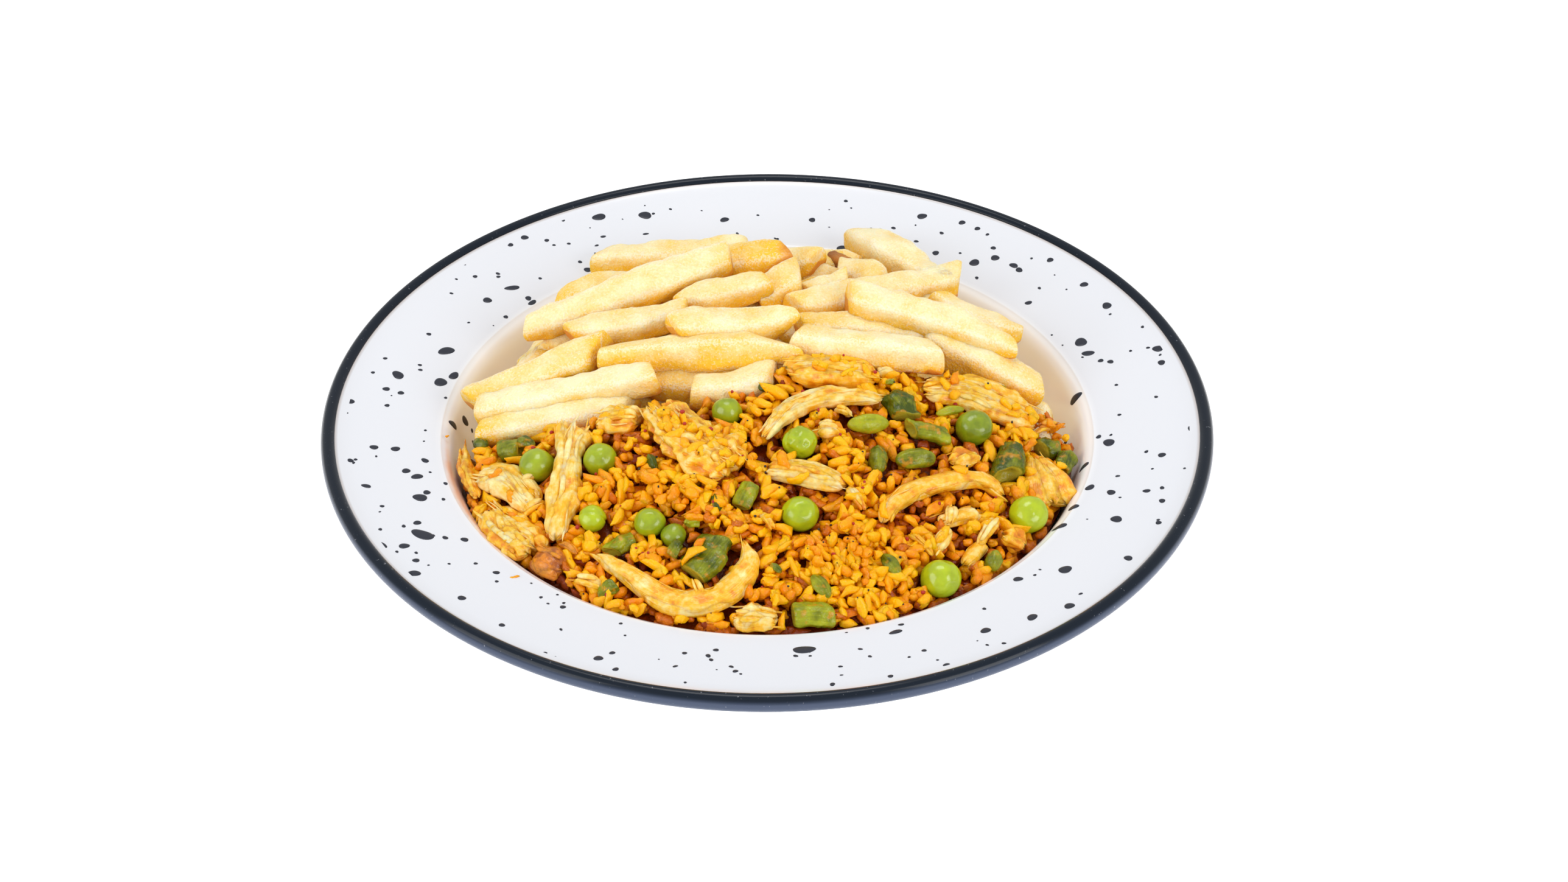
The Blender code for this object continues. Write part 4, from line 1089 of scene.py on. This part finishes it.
def lay_bed(rng, grains, bed, gap):
    """Layers of grains over the core, darker below and brighter above as painted shade, with gaps between the
    lumps.
    """
    for lift, painted_shade_depth, keep in ((-2.4, 0.78, 1.0), (-0.8, 0.52, 0.9), (0.9, 0.28, 0.70)):
        for x in np.arange(-90.0, 90.0, gap):
            for y in np.arange(-90.0, 12.0, gap * 0.9):
                px, py = x + rng.uniform(-0.5, 0.5) * gap, y + rng.uniform(-0.5, 0.5) * gap
                pile = float(unevenness((px, py, 7.0), 6.0))
                if rng.random() > keep + 0.8 * pile:
                    continue
                height = lift + 3.8 * pile + rng.normal(0.0, 0.35)
                pz = float(rice_ground(px, py)) + height
                if not bed.is_free((px, py, pz), height):
                    continue
                heading = float(unevenness((px, py, 3.0), 9.0)) * 5.0 + rng.normal(0.0, 0.7)
                if math.hypot(px, py) > wall_radius(pz) - 3.6:
                    heading = math.atan2(py, px) + math.pi / 2.0 + rng.normal(0.0, 0.25)
                patch = float(unevenness((px, py, 30.0), 17.0))
                # Painted shade: lower layers and the low parts of the lumps get darker tones.
                tone = painted_shade_depth + rng.normal(0.0, 0.12) - 0.40 * pile + 0.26 * patch
                grains.drop((px, py, pz), ground_normal(px, py), heading, rng.normal(0.0, 0.35), tone,
                            rng.uniform(0.85, 1.15), seen=lift > 0.0)


def lay_clumps(rng, grains, bed, number):
    """Rafts of a few grains stuck side by side, tipped this way and that on top of the bed."""
    for _ in range(number):
        x, y = rng.uniform(-86.0, 86.0), rng.uniform(-86.0, 8.0)
        heading, tone = rng.uniform(0.0, math.pi), rng.uniform(-0.05, 0.42)
        ahead = np.array([math.cos(heading), math.sin(heading)])
        beside = np.array([-ahead[1], ahead[0]])
        slope = rng.normal(0.0, 0.38, 2)
        lift = rng.uniform(0.9, 2.9)
        upright = ground_normal(x, y) - np.append(slope[0] * ahead + slope[1] * beside, 0.0)
        upright /= np.linalg.norm(upright)
        total = int(rng.integers(2, 8))
        for index in range(total):
            along = (4.6 * (index % 2) - 2.3 if total > 3 else 0.0) + rng.normal(0.0, 0.8)
            aside = 2.15 * (index // 2 if total > 3 else index) - 2.0 + rng.normal(0.0, 0.4)
            px, py = np.array([x, y]) + along * ahead + aside * beside
            height = lift + slope[0] * along + slope[1] * aside + rng.normal(0.0, 0.3)
            place = (px, py, float(rice_ground(px, py)) + height)
            if height > 0.0 and bed.is_free(place, height, 1.2):
                grains.drop(place, upright, heading + rng.normal(0.0, 0.35), rng.normal(0.0, 0.25),
                            tone + rng.normal(0.0, 0.1), rng.uniform(0.85, 1.15))


def stick_on(rng, grains, node, number, tone=0.12, lift=0.7):
    """Grains stuck on top of one of the solids."""
    tree = tree_of(node)
    low, high = (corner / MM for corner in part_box(node))
    made = tries = 0
    while made < number and tries < 60 * number:
        tries += 1
        above = Vector((rng.uniform(low.x, high.x), rng.uniform(low.y, high.y), high.z + 5.0))
        place, normal, _, _ = tree.ray_cast(above, Vector((0.0, 0.0, -1.0)))
        if place is None or normal.z < 0.35:
            continue
        grains.drop(place + normal * lift, normal, rng.uniform(0.0, math.pi), rng.normal(0.0, 0.2),
                    tone + rng.normal(0.0, 0.12), rng.uniform(0.8, 1.05))
        made += 1


class DISH_OT_add_rice(bpy.types.Operator):
    """Make the heap of rice: loose grains in layers on a core, with specks of spice"""

    bl_idname = "dish.add_rice"
    bl_label = "Rice"

    def execute(self, context):
        settings = context.scene.dish_rice
        rng = np.random.default_rng(SEEDS["rice"])
        core = Piece()
        core.add(*heap_core(
            lambda x, y: rice_ground(x, y) - 3.4 + 1.2 * in_plan(x, y, 2.6),
            lambda x: 0.0 * x - HEAP_REACH, lambda x: dividing_line(x) - 0.5, 130, 80,
        ), 0.8)
        # The core is coloured deep and darker still: partly sauce, partly painted shade in the gaps between
        # the grains.
        deep = rice_finish("rice_underneath_painted_shade", settings.deep, [0.6 * part for part in settings.deep])
        core.make("rice_core", deep, "rice", ["rice"])

        grains = GrainBin(rng, settings)
        bed = Bed([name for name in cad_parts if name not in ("plate", "rice")])
        lay_bed(rng, grains, bed, settings.grain_gap / MM)
        lay_clumps(rng, grains, bed, settings.clumps)
        for node, number in GRAINS_STUCK_ON:
            stick_on(rng, grains, node, number)
        for place, scale in RIM_CRUMBS:
            grains.drop(place, (0.0, 0.0, 1.0), 0.4, 0.0, 0.4, scale, seen=False)
        tones = (settings.bright, settings.golden, settings.orange, settings.deep)
        for index, label in enumerate(RICE_TONES):
            darker = tones[min(index + 1, len(tones) - 1)]
            finish = rice_finish(f"rice_{label}_grains", tones[index], darker)
            grains.pieces[index].make(f"rice_{label}", finish, "rice")

        for label, number, width, tint in (
            ("red", settings.red_specks, 1.0, (0.42, 0.02, 0.01)),
            ("black", settings.black_specks, 0.55, (0.02, 0.012, 0.01)),
        ):
            specks = Piece()
            dot, faces = ball(2)
            for place in rng.choice(np.array(grains.tops), number, replace=False):
                shape = dot * rng.uniform(0.35, 0.65, 3) * width * rng.uniform(0.6, 1.3)
                specks.add(shape + place + (0.0, 0.0, 0.05), faces)
            finish = Finish(f"{label}_spice", roughness=0.5, base_color=(*tint, 1.0))
            specks.make(f"specks_{label}", finish, "rice")
        return {"FINISHED"}


def ball(subdivisions):
    """Points and faces of a ball of radius 1."""
    bm = bmesh.new()
    bmesh.ops.create_icosphere(bm, subdivisions=subdivisions, radius=1.0)
    points = np.array([vert.co[:] for vert in bm.verts])
    faces = [tuple(vert.index for vert in face.verts) for face in bm.faces]
    bm.free()
    return points, faces


def angle_from(points, spot):
    """Angle at the middle of a ball between each of its points and a spot on it."""
    return np.arccos(np.clip(points @ spot, -1.0, 1.0))


def pea_form(points, rng, skin):
    """How far out the skin of a pea lies in each direction, dented as its skin says."""
    out = 1.0 + 0.06 * unevenness(points, 0.9, rng.uniform(0, 40)) + 0.02 * unevenness(points, 0.35, 20.0)
    for _ in range(4):
        spot = rng.normal(0.0, 1.0, 3)
        spot /= np.linalg.norm(spot)
        angle = angle_from(points, spot)
        out -= rng.uniform(0.03, 0.07) * np.exp(-((angle / rng.uniform(0.25, 0.5)) ** 2))
    if skin == "wrinkled":
        folds = np.abs(unevenness(points, 0.55, 3.0)) + 0.6 * np.abs(unevenness(points, 0.3, 9.0))
        out -= 0.20 * np.clip(0.28 - folds, 0.0, 1.0) / 0.28
    if skin == "dented":
        angle = angle_from(points, np.array([0.1, -0.62, 0.78]))
        out -= 0.10 * np.exp(-((angle / 0.28) ** 2))
    if skin == "nubbed":
        angle = angle_from(points, np.array([0.15, -0.70, 0.70]))
        out += 0.035 * np.exp(-((angle / 0.14) ** 2)) - 0.04 * np.exp(-(((angle - 0.30) / 0.12) ** 2))
    if skin in ("creased", "split"):
        plane = np.array([0.85, 0.35, -0.4]) if skin == "creased" else np.array([0.2, 0.9, 0.4])
        plane /= np.linalg.norm(plane)
        away = points @ plane + 0.25 * unevenness(points, 1.2, 5.0)
        depth, reach = (0.05, 0.16) if skin == "creased" else (0.12, 0.08)
        out -= depth * np.exp(-((away / reach) ** 2)) * (points[:, 2] > -0.4)
    return out


class DISH_OT_add_peas(bpy.types.Operator):
    """Make the peas"""

    bl_idname = "dish.add_peas"
    bl_label = "Peas"

    def execute(self, context):
        settings = context.scene.dish_greens
        finish = Finish(
            "pea_skin", roughness=0.2, specular_ior_level=0.6, subsurface_weight=0.1, subsurface_scale=0.002,
        )
        tone = finish.number("tone")
        mask = (tone + (finish.lumps(3.5, 3.0) - 0.5) * 1.2).limited()
        skin_colour = finish.mixed(mask, settings.pea_dark, settings.pea_bright)
        finish.wear("Base Color", skin_colour)
        finish.relief(finish.lumps(1.3, 2.0), 0.08)
        sphere, faces = ball(4)
        for index, ((x, y), radius, lift, bright, skin) in enumerate(PEAS):
            rng = np.random.default_rng(SEEDS["pea"] + index)
            points = sphere * pea_form(sphere, rng, skin)[:, None] * radius * np.array([1.0, 0.97, 0.94])
            points = points + np.array([x, y, float(rice_ground(x, y)) + lift])
            pea = Piece()
            pea.add(points, faces, bright)
            pea.make(f"pea_skin_{index + 1:02d}", finish, "pea", [f"pea_{index + 1:02d}"])
        return {"FINISHED"}


def add_green(piece, rng, route, width, thickness, form, tone):
    """One piece of bean or pepper of a form."""
    length = np.linalg.norm(np.subtract(route[-1], route[0]))
    squareness, around = 2.0, 36
    coarse, fine, ribs = {
        "cut": (1.0, 0.3, 0.16), "ring": (0.7, 0.2, 0.1), "pepper": (1.9, 0.5, 0.0), "bean": (0.6, 0.2, 0.1),
        "leaf": (0.3, 0.1, 0.0),
    }[form]
    if form in ("cut", "ring"):
        shares, reach = blunt_ends(18, 0.9 / length, 0.5 if form == "ring" else 0.16)
    elif form == "pepper":
        shares, reach = blunt_ends(18, 2.4 / length)
        squareness = 2.8
    else:
        shares, reach = tapered_ends(28, 2.4 if form == "bean" else 1.6)
    slant = rng.uniform(-0.8, 0.8, 2) if form in ("cut", "pepper") else (0.0, 0.0)
    points, angle, (line, along, _, up) = sweep(
        route, shares, reach, width, thickness, around, squareness, rng.uniform(-0.3, 0.3), slant
    )
    full = np.minimum(reach, 1.0)[:, None]
    if form in ("bean", "leaf"):
        ridge = np.exp(-(((angle - math.pi / 2.0) / 0.35) ** 2)) * full
        points = points + up[:, None] * (0.45 * ridge)[..., None]
    shift = rng.uniform(0.0, 50.0)
    swell = coarse * unevenness(points, 4.0, shift) + fine * unevenness(points, 1.2, shift)
    swell += ribs * np.cos(5.0 * angle + 3.0 * unevenness(points, 4.0, shift))
    points = points + outward_of(points, line, along) * (swell * full)[..., None]
    cut = np.where(reach < 0.85, 1.0, 0.0) if form in ("cut", "ring", "pepper") else 0.0 * reach
    span = np.broadcast_to((shares * length)[:, None] * 0.12, swell.shape)
    strand = np.stack([span, width * np.cos(angle) + 0 * span, width * np.sin(angle) + 0 * span], -1)
    piece.add(points, tube_faces(len(shares), around), tone, np.repeat(cut, around), strand + shift)


class DISH_OT_add_greens(bpy.types.Operator):
    """Make the cut beans and peppers"""

    bl_idname = "dish.add_greens"
    bl_label = "Green vegetables"

    def execute(self, context):
        settings = context.scene.dish_greens
        finish = Finish(
            "green_skin", roughness=0.18, specular_ior_level=0.35, subsurface_weight=0.2,
            subsurface_scale=0.002,
        )
        tone, cut = finish.number("tone"), finish.number("edge")
        streaks = finish.streaks(1.2) - 0.5
        mask = (tone + (finish.lumps(3.5, 3.0) - 0.5) * 1.7 + streaks * 0.6).limited()
        skin = finish.mixed(mask, settings.skin_dark, settings.skin_bright)
        sauce = finish.ramp(finish.lumps(2.6, 3.0, 4.0), 0.56, 0.70) * 0.7
        sauced = finish.mixed(sauce, skin, (0.60, 0.26, 0.01))
        finish.wear("Base Color", finish.mixed(cut * 0.8, sauced, settings.flesh))
        finish.relief(finish.lumps(0.9, 3.0), 0.25)
        for index, (start, end, width, thickness, lift, form, bright) in enumerate(GREENS):
            rng = np.random.default_rng(SEEDS["green"] + index)
            piece = Piece()
            add_green(piece, rng, arched(start, end, lift, 0.4), width, thickness, form, bright)
            piece.make(f"green_skin_{index + 1:02d}", finish, "green", [f"green_{index + 1:02d}"])
        scraps = Piece()
        rng = np.random.default_rng(SEEDS["green_scraps"])
        for start, end, width, thickness, form, bright in GREEN_SCRAPS:
            add_green(scraps, rng, arched(start, end, 2.6, 0.5), width, thickness, form, bright)
        scraps.make("green_scraps", finish, "green")
        return {"FINISHED"}


def across_of(ahead):
    """Directions to the side of and above a line that runs ahead."""
    beside = np.cross(ahead, (0.0, 0.0, 1.0))
    beside /= np.linalg.norm(beside, axis=1, keepdims=True)
    return beside, np.cross(beside, ahead)


def add_strand(
    piece, rng, lay, wide, tall, stain, widths=(1.0, 1.0), groove=0.2, lobes=0.1, around=8, fullness=3.0,
):
    """One bundle of fibres along a line: grooved lengthwise and lumpy, with ragged ends."""
    length = float(np.sum(np.linalg.norm(np.diff(lay, axis=0), axis=1)))
    rows = max(int(length * 1.3), 10)
    shares, reach = tapered_ends(rows, fullness, 0.12)
    profile = np.interp(shares, np.linspace(0.0, 1.0, len(widths)), widths)
    swelling = unevenness([(share * length, 0.0, tall) for share in shares], 5.0)
    profile = (profile * (1.0 + 0.28 * swelling))[:, None]
    wide, tall = wide * profile, tall * (0.4 + 0.6 * profile)
    roll = rng.uniform(-0.3, 0.3)
    points, angle, (line, along, _, _) = sweep(lay, shares, reach, wide, tall, around, 2.4, roll)
    shift = rng.uniform(0.0, 60.0)
    span = (shares * length)[:, None] + 0.0 * angle[None]
    aside, above = 0.5 * wide * np.cos(angle) + 0.0 * span, 0.5 * tall * np.sin(angle) + 0.0 * span
    ring = np.stack([span * 0.12, aside, above], -1)
    grooves = unevenness(ring, 0.95, shift)
    swell = groove * grooves + lobes * wide * unevenness(ring * np.array([7.5, 1.0, 1.0]), 2.2, shift + 7.0)
    outward = outward_of(points, line, along)
    points = points + outward * (swell * np.minimum(reach, 1.0)[:, None])[..., None]
    ragged = ((1.0 - np.minimum(reach, 1.0)) * np.sign(shares - 0.5))[:, None]
    ragged = ragged * unevenness(ring, 0.9, shift + 3.0)
    points = points + along[:, None] * (0.9 * min(float(np.max(wide)) / 3.0, 2.0) * ragged)[..., None]
    edge = stain + 1.1 * np.clip(-swell, -0.15, 0.5) + 0.25 * np.clip(-outward[..., 2], 0.0, 1.0)
    piece.add(points, tube_faces(rows, around), rng.random(), edge.ravel(), (ring + shift).reshape(-1, 3))


def add_strip(piece, rng, route, width, thickness, stain, widths, form, fibres):
    """One strip of pulled meat: a broad body or two side by side, with thin loose fibres on top that
    fray beyond its ends."""
    groove, lobes, looseness = MEAT_FORMS[form]
    route = np.asarray(route, float)
    width = 1.12 * width
    length = float(np.sum(np.linalg.norm(np.diff(route, axis=0), axis=1)))
    bodies = [(-0.10, 0.0, 0.92, 1.0), (0.30, 0.10, 0.46, 0.8)]
    if form == "smooth":
        bodies = [(0.0, 0.0, 1.05, 1.0), (0.36, -0.12, 0.3, 0.6)]
    if width > 8.6:
        bodies = [(-0.27, 0.0, 0.66, 0.95), (0.26, 0.02, 0.62, 0.85), (0.02, 0.22, 0.42, 0.7)]
    cords = int(looseness * width / 2.2)
    for index in range(len(bodies) + cords + int(fibres * looseness * width / 6.0)):
        body, cord = index < len(bodies), len(bodies) <= index < len(bodies) + cords
        if body:
            first, last = rng.uniform(-0.03, 0.06), rng.uniform(0.94, 1.03)
        elif cord:
            first, last = rng.uniform(-0.04, 0.3), rng.uniform(0.6, 1.04)
        else:
            first = rng.choice((-2.0 / length, 0.0, 0.3, 0.6)) + rng.uniform(-0.05, 0.1)
            last = min(first + rng.uniform(0.2, 0.6), 1.0 + 2.0 / length)
        steps = np.linspace(first, last, max(6, int(length / 4.0)))
        inside = np.clip(steps, 0.0, 1.0)
        place, ahead = curve(route, inside)
        place = place + ahead * ((steps - inside) * length)[:, None]
        beside, above = across_of(ahead)
        full = np.interp(inside, np.linspace(0.0, 1.0, len(widths)), widths)
        wander = rng.uniform(0.1, 0.3) * np.sin(steps * length / rng.uniform(4.0, 9.0) + rng.uniform(0, 6))
        if body:
            aside, raised, broad, deep = bodies[index]
            beside_by, above_by = (aside * width + wander) * full, (raised * thickness + 0.5 * wander) * full
            detail = {"widths": np.interp(np.linspace(0, 1, 7), np.linspace(0, 1, len(widths)), widths),
                      "groove": groove, "lobes": lobes, "around": 34,
                      "fullness": rng.uniform(2.6, 3.6) if form == "chunk" else rng.uniform(5.0, 9.0)}
            wide, tall, tint = broad * width, deep * thickness, stain + rng.normal(0.0, 0.08)
        else:
            order = (index - len(bodies) + 0.5) / max(cords, 1) * 2.0 - 1.0
            lean = (1.15 * order if cord else rng.uniform(-1.25, 1.25)) + wander
            beside_by = 0.5 * width * full * np.sin(lean)
            above_by = 0.5 * thickness * (0.4 + 0.6 * full) * np.cos(lean) + rng.uniform(-0.3, 0.1)
            wide, detail = rng.uniform(0.3, 0.7), {}
            if cord:
                wide, detail = rng.uniform(1.2, 2.0), {"around": 12, "groove": 0.12, "fullness": 4.0}
            tall, tint = wide * 0.75, stain + rng.normal(-0.1, 0.2)
        lay = place + beside * beside_by[:, None] + above * above_by[:, None]
        lay = lay + 0.4 * np.stack([unevenness(lay, 5.0, rng.uniform(0, 40)) for _ in range(3)], -1)
        add_strand(piece, rng, lay, wide, tall, tint, **detail)


def chicken_finish(settings):
    """Moist pulled meat, cream with yellow and orange stains."""
    finish = Finish(
        "pulled_chicken", roughness=0.24, specular_ior_level=0.5, subsurface_weight=0.35,
        subsurface_scale=0.003, subsurface_radius=(1.0, 0.55, 0.15),
    )
    tone, stain = finish.number("tone"), finish.number("edge")
    streaks = finish.streaks(0.5)
    mask = stain + (finish.lumps(4.5, 3.0) - 0.5) * 2.2 + (finish.lumps(1.5, 2.0) - 0.5) * 1.5
    mask = mask + (streaks - 0.5) * 0.5 + tone * 0.2 + 0.46
    meat = finish.mixed(mask.limited(), settings.meat, settings.stain)
    sauced = finish.mixed(finish.ramp(mask, 0.95, 1.7), meat, settings.crevice)
    finish.wear("Base Color", finish.mixed(finish.ramp(mask, 1.7, 2.6), sauced, settings.roast))
    finish.relief(streaks + finish.lumps(1.1, 2.0) * 0.8, 0.22)
    return finish


class DISH_OT_add_chicken(bpy.types.Operator):
    """Make the strips and chunks of pulled chicken"""

    bl_idname = "dish.add_chicken"
    bl_label = "Chicken"

    def execute(self, context):
        settings = context.scene.dish_chicken
        finish = chicken_finish(settings)
        for index, (route, width, thickness, lift, stain, widths, form) in enumerate(CHICKEN):
            rng = np.random.default_rng(SEEDS["chicken"] + index)
            piece = Piece()
            lay = on_rice(route, lift)
            add_strip(piece, rng, lay, width, thickness, stain, widths, form, settings.fibres)
            piece.make(f"chicken_strip_{index + 1:02d}", finish, "chicken", [f"chicken_{index + 1:02d}"])
        for name, rows in (("chicken_scraps", CHICKEN_SCRAPS), ("brown_scraps", BROWN_SCRAPS)):
            scraps = Piece()
            rng = np.random.default_rng(SEEDS["chicken_scraps"])
            for start, end, width, thickness, stain in rows:
                lay, widths = arched(start, end, 2.4, 0.8), (0.8, 1.0, 0.7)
                add_strip(scraps, rng, lay, width, thickness, stain, widths, "torn", settings.fibres // 2)
            scraps.make(name, finish, "chicken")
        return {"FINISHED"}


class DISH_OT_add_stage(bpy.types.Operator):
    """Make the floor, the soft lights and the camera"""

    bl_idname = "dish.add_stage"
    bl_label = "Stage"

    def execute(self, context):
        settings = context.scene.dish_stage
        mesh = bpy.data.meshes.new("floor")
        corners = [(x * FLOOR_REACH, y * FLOOR_REACH, 0.0) for x, y in ((-1, -1), (1, -1), (1, 1), (-1, 1))]
        mesh.from_pydata(corners, [], [(0, 1, 2, 3)])
        finish = Finish(
            "pale_floor", roughness=0.9, base_color=(*settings.floor, 1.0),
            emission_color=(1.0, 1.0, 1.0, 1.0), emission_strength=settings.floor_glow,
        )
        mesh.materials.append(finish.material)
        floor = bpy.data.objects.new("floor", mesh)
        context.scene.collection.objects.link(floor)
        lights = (
            ("overhead", (-0.05, 0.25, 0.9), 0.4, settings.key),
            ("left", (-0.75, -0.5, 0.42), 0.6, settings.fill),
            ("right", (0.65, -0.6, 0.45), 0.5, settings.fill),
        )
        made = []
        for name, place, width, power in lights:
            lamp = bpy.data.lights.new(name, "AREA")
            lamp.size = width
            lamp.energy = power
            light = bpy.data.objects.new(name, lamp)
            light.location = place
            towards = Vector(LIT_PLACE) - Vector(place)
            light.rotation_euler = towards.to_track_quat("-Z", "Y").to_euler()
            context.scene.collection.objects.link(light)
            made.append(light)
        world = bpy.data.worlds.new("white_room")
        world.use_nodes = True
        background = world.node_tree.nodes["Background"]
        background.inputs["Color"].default_value = (1.0, 1.0, 1.0, 1.0)
        background.inputs["Strength"].default_value = settings.sky
        context.scene.world = world
        context.scene.view_settings.view_transform = "Standard"
        lens = bpy.data.cameras.new("photo_view")
        lens.lens = settings.lens
        lens.sensor_width = 36.0
        lens.clip_start = 0.01
        camera = bpy.data.objects.new("photo_view", lens)
        target = Vector(CAMERA_TARGET) * MM
        back = Vector((0.0, -math.cos(settings.elevation), math.sin(settings.elevation)))
        camera.location = target + back * CAMERA_DISTANCE
        camera.rotation_euler = (math.pi / 2.0 - settings.elevation, 0.0, 0.0)
        context.scene.collection.objects.link(camera)
        context.scene.camera = camera
        return {"FINISHED"}


class DISH_PT_panel(bpy.types.Panel):
    """The makers of the dish's pieces, with their settings."""

    bl_label = "Arroz con pollo"
    bl_idname = "DISH_PT_panel"
    bl_space_type = "VIEW_3D"
    bl_region_type = "UI"
    bl_category = "Dish"

    def draw(self, context):
        for maker, group, _ in MAKERS:
            box = self.layout.box()
            box.operator(maker.bl_idname)
            settings = getattr(context.scene, group)
            for label in settings.bl_rna.properties.keys():
                if label not in ("rna_type", "name"):
                    box.prop(settings, label)


MAKERS = (
    (DISH_OT_add_plate, "dish_plate", PlateSettings),
    (DISH_OT_add_fries, "dish_fries", FriesSettings),
    (DISH_OT_add_rice, "dish_rice", RiceSettings),
    (DISH_OT_add_peas, "dish_greens", GreenSettings),
    (DISH_OT_add_greens, "dish_greens", GreenSettings),
    (DISH_OT_add_chicken, "dish_chicken", ChickenSettings),
    (DISH_OT_add_stage, "dish_stage", StageSettings),
)


def register():
    """Add the settings, the operators and the panel."""
    for settings in dict.fromkeys(kind for _, _, kind in MAKERS):
        bpy.utils.register_class(settings)
    for maker, group, settings in MAKERS:
        bpy.utils.register_class(maker)
        setattr(bpy.types.Scene, group, PointerProperty(type=settings))
    bpy.utils.register_class(DISH_PT_panel)


def unregister():
    """Take the panel, the operators and the settings away."""
    bpy.utils.unregister_class(DISH_PT_panel)
    for group in dict.fromkeys(name for _, name, _ in MAKERS):
        delattr(bpy.types.Scene, group)
    for maker, _, _ in MAKERS:
        bpy.utils.unregister_class(maker)
    for settings in dict.fromkeys(kind for _, _, kind in MAKERS):
        bpy.utils.unregister_class(settings)


def main():
    """Make every piece and the stage."""
    register()
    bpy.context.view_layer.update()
    bpy.ops.dish.add_plate()
    bpy.ops.dish.add_fries()
    bpy.ops.dish.add_rice()
    bpy.ops.dish.add_peas()
    bpy.ops.dish.add_greens()
    bpy.ops.dish.add_chicken()
    bpy.ops.dish.add_stage()


if __name__ == "__main__":
    main()
